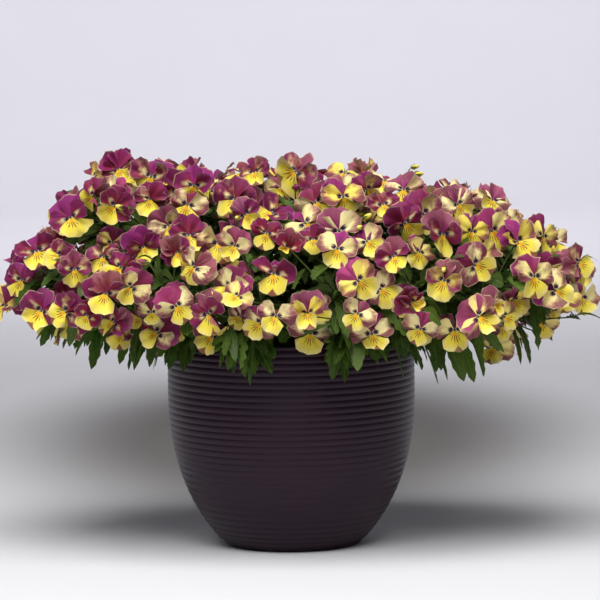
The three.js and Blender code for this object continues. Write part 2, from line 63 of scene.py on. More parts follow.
# The pot's wall, foot and ribs
POT_HEIGHT = 255 * MM
POT_WIDEST = 150 * MM
POT_WIDEST_AT = 178 * MM
POT_FOOT = 81 * MM
POT_WALL = 4.5 * MM
POT_FLOOR = 6 * MM
RIM_STARTS_AT = 225 * MM
RIM_TURN_IN = 2 * MM
FOOT_PAD = 22 * MM
FOOT_RECESS = (26 * MM, 62 * MM)
FOOT_SLOPE = 4 * MM
RECESS_DEPTH = 3 * MM
DRAIN_HOLES = 5
DRAIN_RADIUS = 6 * MM
DRAIN_CIRCLE = 44 * MM
RIB_DEPTH = 0.9 * MM
RIB_PITCH = 7.6 * MM
RIB_SPREAD = 3 * MM
RIB_SPREAD_AT = 65 * MM
RIB_SPREAD_RANGE = 35 * MM
RIBS_END_AT = 3 * MM
PLAIN_RIM = 5 * MM
RIB_SHARES = (0, 0.1, 0.28, 0.5, 0.72, 0.9)
RIM_STEPS = 5
STRAIGHT_LIP = 12 * MM
WALL_STEPS = 14
DRAIN_SIDES = 32

# The soil and the plants' places in it
SOIL_TOP = 233 * MM
SOIL_CROWN = 4 * MM
SOIL_EDGE = 6 * MM
CROWN_HOLE = 15 * MM
CROWN_DEPTH = 12 * MM
SEAT_GAP = 0.3 * MM
WALL_GAP = 0.4 * MM
SOIL_LEVELS = 12
SOIL_RINGS = 52
SOIL_SIDES = 112
CROWN_SLOPE = 5 * MM
CRUMB_SCALE = 190
BITS_SEED = 5
BITS_INSET = 8 * MM
BIT_SIZE = (1.2 * MM, 3.6 * MM)
BIT_SHAPE = (1, 0.7, 0.5)

# The stems of the seven plants
PLANT_RING = 78 * MM
RING_TURNS = (0, 60, 120, 180, 240, 300)
SHOOT_RING = 8 * MM
SHOOTS_A_PLANT = 7
PLANTS = 1 + len(RING_TURNS)
STEM_RISE = 30 * MM
STEM_CLEARS = 52 * MM
STEM_STEEP = 0.42
STEM_BEND = 0.6
STEM_SHARES = (0, 0.1, 0.32, 0.64, 1)
OUTER_SHOOTS = (
    (112, -17, 1, -28),
    (112, 17, 1, 28),
    (79, -22, 1, -85),
    (79, 0, 0, 0),
    (79, 22, 1, 85),
    (52, -15, 1, -148),
    (52, 15, 1, 148),
)
MIDDLE_TIPS = 27
MIDDLE_TURN = 30

# The mound that the flowers cover
MOUND_CENTRE_X = 10 * MM
MOUND_HALF_X = 360 * MM
MOUND_HALF_Y = 240 * MM
MOUND_MIDDLE = 302 * MM
MOUND_ABOVE = 155 * MM
MOUND_BELOW = 62 * MM
SHOULDER = 0.33
SHOULDER_AT = -250 * MM
SHOULDER_WIDTH = 120 * MM
SAG = 0.85
SAG_AT = 250 * MM
SAG_WIDTH = 75 * MM
SHOOT_INSET = 40 * MM

# The flowers. FLOWER_SPACING, LOOK_OUT and LOOK_BACK hold a value for the front and one for the back
FLOWER_SEED = 83
FLOWER_TRIES = 7000
FLOWER_LOWEST = -0.62
FLOWER_SPACING = (34 * MM, 52 * MM)
UNDERSIDE = -0.1  # flowers lower than this are spaced as at the back
FLOWER_WIDTH = (38 * MM, 53 * MM)
FLOWER_DEPTH = (0, 30 * MM)
FLOWER_MOST = 8
BACK_STARTS_AT = 60 * MM
BACK_BLEND = 60 * MM
LOOK_OUT = (0.75, 1.2)
LOOK_BACK = (-0.8, 0.3)
LOOK_STRAY = 1.1
TILT = (-10, 34)
TOP_TILT = 55
TOP_STARTS_AT = -90 * MM
TOP_ENDS_AT = 210 * MM
TOP_SLOPES = (4, 2)
ROLL = (-52, 52)
ROLL_LEAN = 24
FACE_REACH = 0.57
FACE_DEPTH = 5 * MM
FACE_RINGS = (0.3, 0.7, 1.08)
FACE_TURNS = tuple(math.pi * k / 6 for k in range(12))
CALYX = 8 * MM

# Smaller flowers that the solids leave out, deeper in the mound and between the others, but none low down
SMALL_SEED = 311
SMALL_TRIES = 520
SMALL_WIDTH = (31 * MM, 44 * MM)
SMALL_DEPTH = (2 * MM, 54 * MM)
SMALL_APART = 26 * MM
SMALL_LOWEST = 272 * MM
SMALL_PETALS = 2.5 * MM

# How petals stand. The first pair holds the share of flowers, and of smaller ones, that are closing
CLOSING = (0.13, 0.32)
CLOSING_LEAN = (0.35, 0.85)
OPEN_LEAN = (0.03, 0.09)
UPPER_BACK = ((0, 0.2), (0.25, 0.8))

# The flowers' stalks
STALK_SHARES = tuple(0.25 + 0.049 * k for k in range(16))
STALK_AHEAD = -0.12
STALK_EASY = -0.5
STALK_UPHILL = 20 * MM
STALK_LONGEST = 190 * MM
STEM_ROOM = 5.8 * MM
STALK_ROOM = 3.4 * MM
RIM_ROOM = (12 * MM, 6 * MM)
SAMPLES = np.arange(25) / 25

# The leaves
LEAF_SEED = 910
LEAVES_A_SHOOT = 44
LEAF_LENGTH = (34 * MM, 58 * MM)
LEAF_WIDTH = (0.24, 0.34)
LEAF_DROOP = (0.25, 0.75)
LEAF_SPAN = (0.3, 0.96)
LEAF_AHEAD = 0.5
LEAF_OUT = 0.35
LEAF_HANGS = (0.3, -0.9)
LEAF_FIRST = 1.1
LEAF_DWINDLES = 0.35
LEAF_SEED_STEP = 31
LEAF_CHECKS = (0.35, 0.7, 1)
LEAF_INSIDE = -10 * MM
LEAF_OUTSIDE = 8 * MM
LEAF_OVER_SOIL = 9 * MM
LEAF_OVER_RIM = 5 * MM
GOLDEN_ANGLE = math.pi * (3 - math.sqrt(5))

# How a leaf's blade is shaped
LEAF_ROWS = 12
TIP_CROWDED = 1.35
LEAF_ROLL = 0.5
LEAF_FOLD = (0.05, 0.55)
LEAF_SWEEP = 0.12
LEAF_CURL = 0.4
LEAF_BROADER = (1.15, 1.5)
DEEP_TOOTHED = 0.14
NOTCHES = (0.45, 0.8)

# What the solids leave out: leafy side shoots, leaves on the stalks and tips, and buds
SIDE_SEED = 2203
SIDE_SHOOTS = (7, 11)  # on an upright stem and on a hanging one
SIDE_SPAN = (0.34, 1.0)
SIDE_LENGTH = (22 * MM, 55 * MM)
SIDE_PULL = 0.45
SIDE_HANGS = 0.25
SIDE_LEAVES = 5
SIDE_OUT = 0.75
SIDE_AHEAD = 0.4
SIDE_SAGS = 0.1
FRINGE = (226 * MM, 252 * MM)  # leaves end above a height in this range
FRINGE_BEFORE_POT = (206 * MM, 236 * MM)  # or in this one, over the pot's width
STALK_LEAVES = 3
TIP_LEAVES = 5
TIP_REACH = 14 * MM
BUD_REACH = (26 * MM, 48 * MM)
FACE_ROOM = (-4 * MM, 26 * MM)

# A petal's fan round the flower's throat: the turn of its middle in degrees, the side to which it is handed,
# its reach in widths of the flower, half its spread in degrees, how much shorter it is at its sides, how far
# forward it lies and how much further its tip stands forward
Petal = namedtuple("Petal", "kind turn side reach spread fall lies lifts")
PETALS = (
    Petal("upper", 61, 1, 0.56, 50, 0.28, -0.05, -0.03),
    Petal("upper", 119, -1, 0.56, 50, 0.28, -0.03, -0.01),
    Petal("side", 17, 1, 0.53, 46, 0.32, -0.01, 0.03),
    Petal("side", 163, -1, 0.53, 46, 0.32, 0.0, 0.03),
    Petal("lip", -90, 1, 0.52, 60, 0.27, 0.02, 0.03),
)
CLAW = 0.03
PETAL_THICKNESS = 0.008
PETAL_ACROSS = 10
PETAL_ALONG = 3
PETAL_FACES = {"upper": 0, "side": 1, "lip": 2}
PETAL_BACK = 3
GREEN = 4

# Radii of thin tubes at their two ends, and a spur's bends in millimetres before and over the throat
STALK_RADII = (0.9 * MM, 1.1 * MM)
TWIG_RADII = (1.2 * MM, 0.8 * MM)
CALYX_RADII = (1.5 * MM, 2.2 * MM)
SPUR_RADII = (1.8 * MM, 1.0 * MM)
BUD_STALK_RADII = (1.0 * MM, 0.8 * MM)
SPUR_BENDS = ((-1.5, -1), (-4, -2), (-7, -2.5), (-10, -1.5))

# The backdrop's floor, bend and wall, and the width of the camera's sensor in millimetres
FLOOR_REACH = 6.0
FLOOR_BEND = 2.2
WALL_TOP = 6.0
BACKDROP_SIDES = 96
SENSOR_WIDTH = 36

Leaf = namedtuple("Leaf", "base heading length width droop")


def random_source(seed):
    """Numbers from 0 to 1 that are the same on every run."""
    state = seed
    while True:
        state = state * 48271 % 2147483647
        yield state / 2147483647


def between(pair, share):
    return pair[0] + (pair[1] - pair[0]) * share


def unit(vector):
    return vector / np.linalg.norm(vector)


def pot_radius(height):
    """Outer radius of the pot's wall at a height, without its ribs."""
    belly_depth = POT_WIDEST_AT / math.sqrt(1 - (POT_FOOT / POT_WIDEST) ** 2)
    below = max(0, POT_WIDEST_AT - height) / belly_depth
    turn = max(0, height - RIM_STARTS_AT) / (POT_HEIGHT - RIM_STARTS_AT)
    return POT_WIDEST * math.sqrt(1 - below * below) - RIM_TURN_IN * turn * turn


def groove_heights():
    """Heights of the grooves between the ribs, from the lowest up."""
    heights = []
    height = POT_HEIGHT - PLAIN_RIM
    while height > RIBS_END_AT:
        heights.insert(0, height)
        slope = (pot_radius(height) - pot_radius(height - MM)) / MM
        spread = math.exp(-(((height - RIB_SPREAD_AT) / RIB_SPREAD_RANGE) ** 2))
        height -= (RIB_PITCH + RIB_SPREAD * spread) / math.hypot(1, slope)
    return heights


def plant_centres():
    """Where the plants stand, at the height of the soil."""
    turns = [math.radians(turn) for turn in RING_TURNS]
    ring = [(PLANT_RING * math.cos(turn), PLANT_RING * math.sin(turn), SOIL_TOP) for turn in turns]
    return np.array([(0, 0, SOIL_TOP), *ring])


def mound_point(polar, azimuth, inset):
    """A point on the mound or inset from it, by its polar angle from straight up and its azimuth."""
    out = math.sin(polar)
    rise = math.cos(polar)
    x = MOUND_CENTRE_X + (MOUND_HALF_X - inset) * out * math.cos(azimuth)
    y = (MOUND_HALF_Y - inset) * out * math.sin(azimuth)
    fuller = 1 + SHOULDER * math.exp(-(((x - SHOULDER_AT) / SHOULDER_WIDTH) ** 2))
    sagging = 1 + SAG * math.exp(-(((x - SAG_AT) / SAG_WIDTH) ** 2))
    reach = MOUND_ABOVE * fuller - inset if rise > 0 else MOUND_BELOW * sagging - inset / 2
    return np.array((x, y, MOUND_MIDDLE + reach * rise))


def shoot_curves():
    """Every shoot's stem as the four control points of a curve from its hole in the soil to its tip."""
    ringed = [(MIDDLE_TIPS, turn + MIDDLE_TURN, 1, turn + MIDDLE_TURN) for turn in RING_TURNS]
    outer = [
        [(polar, turn + tip, ring, turn + foot) for polar, tip, ring, foot in OUTER_SHOOTS]
        for turn in RING_TURNS
    ]
    curves = []
    for centre, shoots in zip(plant_centres(), [[(0, 0, 0, 0), *ringed], *outer]):
        for polar, azimuth, ring, turn in shoots:
            tip = mound_point(math.radians(polar), math.radians(azimuth), SHOOT_INSET)
            aside = np.array((math.cos(math.radians(turn)), math.sin(math.radians(turn)), 0))
            foot = centre + ring * SHOOT_RING * aside + UP * (SEAT_GAP - CROWN_DEPTH)
            climb = tip[2] - foot[2]
            rise = foot + UP * (STEM_RISE + STEM_STEEP * climb)
            bend = (foot + tip) / 2
            bend[2] = max(foot[2] + STEM_BEND * climb, SOIL_TOP + STEM_CLEARS)
            curves.append(np.array((foot, rise, bend, tip)))
    return curves


def curve_point(curve, share):
    """Points of a cubic curve at one share of the way along it or at several."""
    t = np.asarray(share, float)[..., None]
    low = (1 - t) ** 3 * curve[0] + 3 * (1 - t) ** 2 * t * curve[1]
    return low + 3 * (1 - t) * t * t * curve[2] + t ** 3 * curve[3]


def curve_tangent(curve, share):
    return unit(curve_point(curve, share + 1e-4) - curve_point(curve, share - 1e-4))


def chord_points(curve, shares):
    """Points on the straight sections that a stem is laid out with."""
    ends = curve_point(curve, STEM_SHARES)
    return np.stack([np.interp(shares, STEM_SHARES, ends[:, axis]) for axis in range(3)], axis=-1)


def on_top(y):
    """From 0 at the front to 1 on top of the mound and back to 0 behind."""
    share = (y - TOP_STARTS_AT) / (TOP_ENDS_AT - TOP_STARTS_AT)
    return max(0, min(1, TOP_SLOPES[0] * share, TOP_SLOPES[1] * (1 - share)))


def in_face(flower, points, depth=FACE_DEPTH):
    """Which points are in a flower's space: a thick disc with a cone behind it."""
    apart = points - flower.at
    height = apart @ flower.facing
    across = np.sqrt(np.maximum(0, (apart * apart).sum(-1) - height * height))
    share = across / (FACE_REACH * flower.width)
    return (share < 1) & (height < depth) & (height > -depth - CALYX * (1 - share))


def face_axes(facing, roll):
    """A flower's own directions across and up its face."""
    upright = unit(UP - facing * facing[2])
    across = np.cross(upright, facing)
    turned = across * math.cos(roll) + upright * math.sin(roll)
    return turned, upright * math.cos(roll) - across * math.sin(roll)


def try_flower(draws, widths=FLOWER_WIDTH, depths=FLOWER_DEPTH):
    """A flower at a place on the mound, given by nine random draws, with points over its face."""
    rise = between((FLOWER_LOWEST, 1), draws[0])
    at = mound_point(math.acos(rise), 2 * math.pi * draws[1], between(depths, draws[2]))
    half = 1 if at[1] > BACK_STARTS_AT + BACK_BLEND * (draws[3] - 0.5) else 0
    heading = unit(np.array((at[0] / MOUND_HALF_X ** 2, at[1] / MOUND_HALF_Y ** 2, 0))) * LOOK_OUT[half]
    heading[0] += LOOK_STRAY * (draws[4] - 0.5)
    heading[1] += LOOK_STRAY * (draws[5] - 0.5) + LOOK_BACK[half]
    tilt = math.radians(between(TILT, draws[6]) + TOP_TILT * max(0, rise) ** 2 * on_top(at[1]))
    facing = unit(heading) * math.cos(tilt) + UP * math.sin(tilt)
    width = between(widths, draws[7])
    lean = ROLL_LEAN * at[0] / MOUND_HALF_X
    across, upright = face_axes(facing, math.radians(between(ROLL, draws[8]) + lean))
    discs = [
        at + width / 2 * ring * (across * math.cos(turn) + upright * math.sin(turn))
        for turn in FACE_TURNS
        for ring in FACE_RINGS
    ]
    return SimpleNamespace(
        at=at,
        facing=facing,
        width=width,
        across=across,
        upright=upright,
        calyx=at - facing * CALYX,
        spacing=FLOWER_SPACING[1 if rise < UNDERSIDE else half],
        points=np.array(discs),
        small=widths is SMALL_WIDTH,
    )


def comes_through(flower, others, depth=FACE_DEPTH):
    """Whether a flower's petals come through another's, or another's through its own."""
    return any(
        in_face(other, flower.points, depth).any() or in_face(flower, other.points, depth).any()
        for other in others
    )


def clear_of(flower, placed):
    """Whether a flower is clear of those already placed, and neither's petals come through the other's."""
    if not placed:
        return True
    apart = np.linalg.norm(np.array([other.at for other in placed]) - flower.at, axis=1)
    if apart.min() < flower.spacing:
        return False
    widths = np.array([other.width for other in placed]) + flower.width
    near = [other for other, close in zip(placed, apart <= FACE_REACH * widths + FACE_DEPTH) if close]
    return not comes_through(flower, near)


def flowers_on(curves):
    """Where each flower is and which way it looks, on which shoot it grows and how far along it."""
    source = random_source(FLOWER_SEED)
    stems = np.concatenate([chord_points(curve, SAMPLES) for curve in curves])
    placed = []
    for _ in range(FLOWER_TRIES):
        flower = try_flower([next(source) for _ in range(9)])
        if clear_of(flower, placed) and not in_face(flower, stems).any():
            placed.append(flower)
    return with_stalks(placed, curves)


def with_stalks(placed, curves):
    """Gives each flower the easiest clear way down to a shoot, and drops a flower that has none."""
    feet = np.concatenate([chord_points(curve, STALK_SHARES) for curve in curves])
    owner = np.repeat(np.arange(len(curves)), len(STALK_SHARES))
    sections = [
        (shoot, *ends)
        for shoot, curve in enumerate(curves)
        for ends in pairs(curve_point(curve, STEM_SHARES))
    ]
    lines = SimpleNamespace(
        shoot=[shoot for shoot, _, _ in sections],
        low=[low for _, low, _ in sections],
        high=[high for _, _, high in sections],
        room=[STEM_ROOM] * len(sections),
    )
    carried = np.zeros(len(curves), int)
    kept = []
    for number, flower in enumerate(placed):
        cost = stalk_cost(flower, feet)
        ways = [k for k in np.argsort(cost, kind="stable") if cost[k] < STALK_LONGEST]
        ways = [k for k in ways if carried[owner[k]] < FLOWER_MOST]
        foot = next((k for k in ways if open_way(flower, feet[k], owner[k], placed, lines)), None)
        if foot is None:
            continue
        carried[owner[foot]] += 1
        flower.number = number
        flower.shoot = int(owner[foot])
        flower.share = STALK_SHARES[foot % len(STALK_SHARES)]
        lines.shoot.append(-1)
        lines.low.append(flower.calyx)
        lines.high.append(feet[foot])
        lines.room.append(STALK_ROOM)
        kept.append(flower)
    return kept


def small_flowers(curves, flowers):
    """The smaller flowers, each on a stalk from the stem that is easiest to reach."""
    source = random_source(SMALL_SEED)
    stems = np.concatenate([chord_points(curve, SAMPLES) for curve in curves])
    feet = np.concatenate([chord_points(curve, STALK_SHARES) for curve in curves])
    small = []
    for _ in range(SMALL_TRIES):
        flower = try_flower([next(source) for _ in range(9)], SMALL_WIDTH, SMALL_DEPTH)
        if flower.at[2] < SMALL_LOWEST:
            continue
        others = flowers + small
        apart = np.linalg.norm(np.array([other.at for other in others]) - flower.at, axis=1)
        near = [others[k] for k in np.nonzero(apart < 2 * FLOWER_WIDTH[0])[0]]
        crowded = apart.min() < SMALL_APART or comes_through(flower, near, SMALL_PETALS)
        cost = stalk_cost(flower, feet)
        if crowded or in_face(flower, stems).any() or cost.min() > STALK_LONGEST:
            continue
        foot = int(cost.argmin())
        flower.shoot = foot // len(STALK_SHARES)
        flower.share = STALK_SHARES[foot % len(STALK_SHARES)]
        flower.number = len(others) + FLOWER_TRIES
        small.append(flower)
    return small


def pairs(points):
    return list(zip(points[:-1], points[1:]))


def stalk_cost(flower, feet):
    """How hard a stalk is to grow from each foot: long ones, and those that come from before the flower."""
    reach = feet - flower.calyx
    length = np.linalg.norm(reach, axis=1)
    ahead = reach @ flower.facing / length
    cost = length * (1 + 2 * np.maximum(0, ahead - STALK_EASY)) + np.where(reach[:, 2] > 0, STALK_UPHILL, 0)
    return np.where(ahead > STALK_AHEAD, np.inf, cost)


def open_way(flower, foot, shoot, placed, lines):
    """Whether a stalk from this foot keeps clear of the pot, of other flowers, and of stems and stalks."""
    points = flower.calyx + (foot - flower.calyx) * SAMPLES[:, None]
    out = np.hypot(points[:, 0], points[:, 1]) - POT_WIDEST
    rim = (points[:, 2] < POT_HEIGHT + RIM_ROOM[1]) & (out > -RIM_ROOM[0]) & (out < RIM_ROOM[1])
    if rim.any() or any(other is not flower and in_face(other, points).any() for other in placed):
        return False
    other = np.array(lines.shoot) != shoot
    low = np.array(lines.low)[other]
    span = np.array(lines.high)[other] - low
    room = np.array(lines.room)[other]
    apart = points[:, None] - low
    share = np.clip((apart * span).sum(-1) / (span * span).sum(-1), 0, 1)
    return bool((np.linalg.norm(apart - share[..., None] * span, axis=-1) > room).all())


def hangs(curve):
    """The shoots that come out low over the rim let their leaves hang."""
    return curve[3][2] < MOUND_MIDDLE


def leaves_of(curve, shoot):
    """Every leaf of a shoot by its base, its direction and its size, in a spiral up the stem."""
    source = random_source(LEAF_SEED + LEAF_SEED_STEP * shoot)
    leaves = []
    for k in range(LEAVES_A_SHOOT):
        draws = [next(source) for _ in range(4)]
        share = between(LEAF_SPAN, (k + draws[0]) / LEAVES_A_SHOOT)
        base = curve_point(curve, share)
        direction = curve_tangent(curve, share)
        outward = unit(base * (1, 1, 0))
        across = unit(np.cross(outward, direction))
        upright = np.cross(direction, across)
        turn = GOLDEN_ANGLE * k
        heading = across * math.cos(turn) + upright * math.sin(turn)
        heading += LEAF_AHEAD * direction
        heading += LEAF_OUT * outward
        if hangs(curve):
            heading += LEAF_HANGS[0] * outward + LEAF_HANGS[1] * UP
        length = between(LEAF_LENGTH, draws[1]) * (LEAF_FIRST - LEAF_DWINDLES * share)
        width = length * between(LEAF_WIDTH, draws[3])
        leaves.append(Leaf(base, unit(heading), length, width, between(LEAF_DROOP, draws[2])))
    return [leaf for leaf in leaves if clear_of_pot(leaf)]


def leaf_point(leaf, share):
    """Points on a leaf's midrib, which bends down under its weight."""
    share = np.asarray(share, float)[..., None]
    return leaf.base + leaf.heading * leaf.length * share - UP * leaf.droop * leaf.length * share ** 2


def clear_of_pot(leaf):
    """A leaf keeps off the rim of the pot and above the soil."""
    points = leaf_point(leaf, LEAF_CHECKS)
    out = np.hypot(points[:, 0], points[:, 1]) - POT_WIDEST
    lowest = np.where(out < LEAF_INSIDE, SOIL_TOP + LEAF_OVER_SOIL, POT_HEIGHT + LEAF_OVER_RIM)
    return bool(((out > LEAF_OUTSIDE) | (points[:, 2] > lowest)).all())


@lru_cache(maxsize=None)
def growth():
    """The shoots' curves and the flowers on them, worked out once."""
    curves = shoot_curves()
    flowers = flowers_on(curves)
    return curves, flowers + small_flowers(curves, flowers)


class Signal:
    """A value or colour that varies over a surface. Python's operators on values add Math nodes."""

    def __init__(self, finish, socket):
        self.finish = finish
        self.socket = socket

    def math(self, operation, *values):
        return self.finish.node("ShaderNodeMath", {"operation": operation}, dict(enumerate(values)))

    def __add__(self, other):
        return self.math("ADD", self, other)

    def __sub__(self, other):
        return self.math("SUBTRACT", self, other)

    def __rsub__(self, other):
        return self.math("SUBTRACT", other, self)

    def __mul__(self, other):
        return self.math("MULTIPLY", self, other)

    def __mod__(self, other):
        return self.math("MODULO", self, other)

    def __abs__(self):
        return self.math("ABSOLUTE", self)

    __radd__ = __add__
    __rmul__ = __mul__


class Finish:
    """A procedural material. One method adds any node from its type, its settings and its sockets."""

    def __init__(self, name, **fixed):
        self.material = bpy.data.materials.new(name)
        self.material.use_nodes = True
        self.shader = self.material.node_tree.nodes["Principled BSDF"]
        self.put(self.shader, {socket.replace("_", " "): value for socket, value in fixed.items()})

    def put(self, node, sockets):
        for key, value in sockets.items():
            if isinstance(value, Signal):
                self.material.node_tree.links.new(value.socket, node.inputs[key])
            else:
                node.inputs[key].default_value = value

    def node(self, kind, settings=None, sockets=None, output=0):
        made = self.material.node_tree.nodes.new(kind)
        for key, value in (settings or {}).items():
            setattr(made, key, value)
        self.put(made, sockets or {})
        return Signal(self, made.outputs[output])

    def place(self):
        return self.node("ShaderNodeTexCoord", output="Object")

    def blade(self):
        """How far across a blade, from -1 to 1, and how far along it, from 0 to 1, from its own map."""
        spread = self.node("ShaderNodeUVMap", {"uv_map": "blade"})
        across = self.node("ShaderNodeSeparateXYZ", sockets={0: spread}, output="X")
        return across, self.node("ShaderNodeSeparateXYZ", sockets={0: spread}, output="Y")

    def own(self, name):
        return self.node("ShaderNodeAttribute", {"attribute_name": name}, output="Fac")

    def smooth(self, value, low, high):
        """0 below low, 1 above high and eased between them."""
        sockets = {0: value, 1: low, 2: high}
        return self.node("ShaderNodeMapRange", {"interpolation_type": "SMOOTHSTEP"}, sockets)

    def mix(self, share, one, two):
        """One colour where the share is 0, the other where it is 1."""
        one, two = (end if isinstance(end, Signal) else (*end, 1.0) for end in (one, two))
        return self.node("ShaderNodeMix", {"data_type": "RGBA"}, {0: share, 6: one, 7: two}, output=2)

    def zigzag(self, value):
        """Runs from 0 to 0.5 and back while the value rises by 1."""
        return self.node("ShaderNodeMath", {"operation": "PINGPONG"}, {0: value, 1: 0.5})

    def stretched(self, vector, *factors):
        return self.node("ShaderNodeVectorMath", {"operation": "MULTIPLY"}, {0: vector, 1: factors})

    def joined(self, x, y, z=0.0):
        return self.node("ShaderNodeCombineXYZ", sockets={0: x, 1: y, 2: z})

    def grain(self, vector, scale, detail=2.0):
        sockets = {"Vector": vector, "Scale": scale, "Detail": detail}
        return self.node("ShaderNodeTexNoise", sockets=sockets, output="Fac")

    def relief(self, height, distance, strength=1.0):
        sockets = {"Height": height, "Distance": distance, "Strength": strength}
        return self.node("ShaderNodeBump", sockets=sockets)

    def dress(self, **surface):
        """Sets what varies over the surface, and gives the material."""
        self.put(self.shader, {socket.replace("_", " "): value for socket, value in surface.items()})
        return self.material


def times(values, factor):
    """Each of a colour's or a size's values times a factor."""
    return [factor * value for value in values]


def plastic_finish(look):
    """Satin moulded plastic, a little paler in soft random clouds, with fine specks in its roughness and
    relief.
    """
    finish = Finish("aubergine_plastic", Specular_IOR_Level=0.22)
    place = finish.place()
    cloud = finish.grain(place, 9.0, 3.0)
    speck = finish.grain(place, 900.0, 1.0)
    colour = finish.mix(cloud, look.plastic, times(look.plastic, 1.35))
    rough = look.roughness + 0.12 * (cloud - 0.5) + 0.08 * (speck - 0.5)
    return finish.dress(Base_Color=colour, Roughness=rough, Normal=finish.relief(speck, 0.0002, 0.25))


def soil_finish(look):
    """Crumbly peat, paler and darker in small crumbs."""
    finish = Finish("peat", Specular_IOR_Level=0.2)
    place = finish.place()
    crumbs = finish.grain(place, 260.0, 4.0)
    colour = finish.mix(crumbs, times(look.earth, 0.4), times(look.earth, 1.9))
    return finish.dress(Base_Color=colour, Roughness=0.75 + 0.3 * crumbs, Normal=finish.relief(crumbs, 0.003))


def leaf_finish(look, name, face):
    """A leaf's upper or under side, with a pale midrib, side veins and its own shade of green."""
    finish = Finish(
        name,
        Subsurface_Weight=0.08,
        Subsurface_Radius=(0.3, 1.0, 0.1),
        Subsurface_Scale=0.003,
        Specular_IOR_Level=0.28,
    )
    across, along = finish.blade()
    shade = finish.own("tone")
    mottle = finish.grain(finish.place(), 70.0, 3.0)
    green = finish.mix(shade, look.leaf_dark, look.leaf_light)
    green = finish.mix(finish.smooth(mottle, 0.35, 0.8) * 0.45, green, look.leaf_light)
    rib = 1 - finish.smooth(abs(across), 0.03, 0.14)
    waves = finish.zigzag(along * 7 - abs(across) * 1.1)
    veins = (1 - finish.smooth(waves, 0.02, 0.16)) * (1 - finish.smooth(abs(across), 0.7, 1.0))
    green = finish.mix((rib * 0.55 + veins * 0.2) * (1.0 if face else 1.3), green, look.vein)
    if not face:
        green = finish.mix(0.35, green, look.leaf_under)
    height = veins * -0.5 - rib + mottle * 0.4
    rough = 0.42 + 0.25 * mottle if face else 0.6 + 0.2 * mottle
    relief = finish.relief(height, 0.0006, 0.7 if face else -0.5)
    return finish.dress(Base_Color=green, Roughness=rough, Normal=relief)


def stem_finish(look):
    """Juicy green stems, streaked with a lighter green."""
    finish = Finish("stem", Subsurface_Weight=0.1, Subsurface_Radius=(0.4, 1.0, 0.2), Subsurface_Scale=0.002)
    streak = finish.grain(finish.stretched(finish.place(), 1, 1, 0.2), 160.0, 2.0)
    colour = finish.mix(streak, look.stem, look.leaf_light)
    rough = 0.45 + 0.2 * streak
    return finish.dress(Base_Color=colour, Roughness=rough, Normal=finish.relief(streak, 0.0004, 0.5))


class PetalFinish(Finish):
    """The velvet of a petal: fine veins that run out from its claw, and a soft mottle."""

    def __init__(self, name):
        super().__init__(
            name,
            Subsurface_Weight=0.15,
            Subsurface_Radius=(1.0, 0.7, 0.5),
            Subsurface_Scale=0.002,
            Sheen_Weight=0.03,
            Specular_IOR_Level=0.2,
        )
        self.across, self.along = self.blade()
        self.tone = self.own("tone")
        self.age = self.own("light")
        self.veins = self.grain(self.joined(self.across * 9, self.along * 1.2, self.age * 30), 1.6, 3.0)
        self.mottle = self.grain(self.place(), 120.0, 3.0)

    def velvet(self, colour):
        """The finished petal in a colour."""
        aged = self.mix(self.smooth(self.veins, 0.45, 0.75) * 0.12, colour, (0.16, 0.02, 0.05))
        ribs = self.veins * 0.7 + self.mottle * 0.3
        rough = 0.5 + 0.25 * self.mottle
        return self.dress(Base_Color=aged, Roughness=rough, Normal=self.relief(ribs, 0.0005, 0.6))


def berry_of(finish, look):
    """Crimson by the claw and magenta further out, with a darker bloom."""
    outward = finish.smooth(finish.along + (finish.mottle - 0.5) * 0.9 + (finish.age - 0.5) * 0.5, 0.3, 1.0)
    colour = finish.mix(outward, look.crimson, look.magenta)
    return finish.mix(finish.smooth(finish.mottle, 0.45, 0.75) * 0.5, colour, look.wine)


def pale_rim(finish, colour, look):
    """A thin pale edge round the outer part of a petal."""
    broken = finish.smooth(finish.grain(finish.place(), 60.0, 2.0), 0.42, 0.62)
    tip = finish.smooth(finish.along, 0.93, 1.0) * broken * 0.5
    side = finish.smooth(abs(finish.across), 0.93, 1.0) * finish.smooth(finish.along, 0.5, 0.8) * broken * 0.3
    return finish.mix(side, finish.mix(tip, colour, look.cream), look.cream)


def upper_finish(look):
    """The upper petals: deep raspberry on some flowers and pink on others, with a thin pale rim."""
    finish = PetalFinish("upper_petal")
    colour = finish.mix(finish.smooth(finish.tone, 0.15, 0.6), look.pink, berry_of(finish, look))
    worn = finish.smooth(finish.veins + 0.3 * (finish.along - 0.5), 0.5, 0.85)
    colour = finish.mix(worn * 0.3, colour, look.pink)
    bluer = finish.smooth(finish.age * 5 % 1.0, 0.5, 0.9)
    colour = finish.mix(bluer * 0.6, colour, look.violet)
    faded = finish.smooth(finish.age * 11 % 1.0, 0.6, 0.9)
    faded = faded * finish.smooth(finish.mottle + finish.along, 0.5, 1.3)
    colour = finish.mix(faded * 0.22, colour, look.tan)
    deep = finish.smooth(finish.veins, 0.42, 0.68) * (1 - finish.smooth(finish.along, 0.3, 0.95))
    colour = finish.mix(deep * 0.8, colour, look.wine)
    return finish.velvet(pale_rim(finish, colour, look))


def eye_of(finish):
    """A dark eye by the claw, with a few longer rays."""
    rays = finish.grain(finish.joined(finish.across * 6, 0.0, finish.age * 30), 2.4, 1.0)
    edge = finish.along + (0.5 - rays) * 0.5 + abs(finish.across) * 0.1
    return (1 - finish.smooth(edge, 0.25, 0.33)) * (1 - finish.smooth(abs(finish.across), 0.55, 0.95))


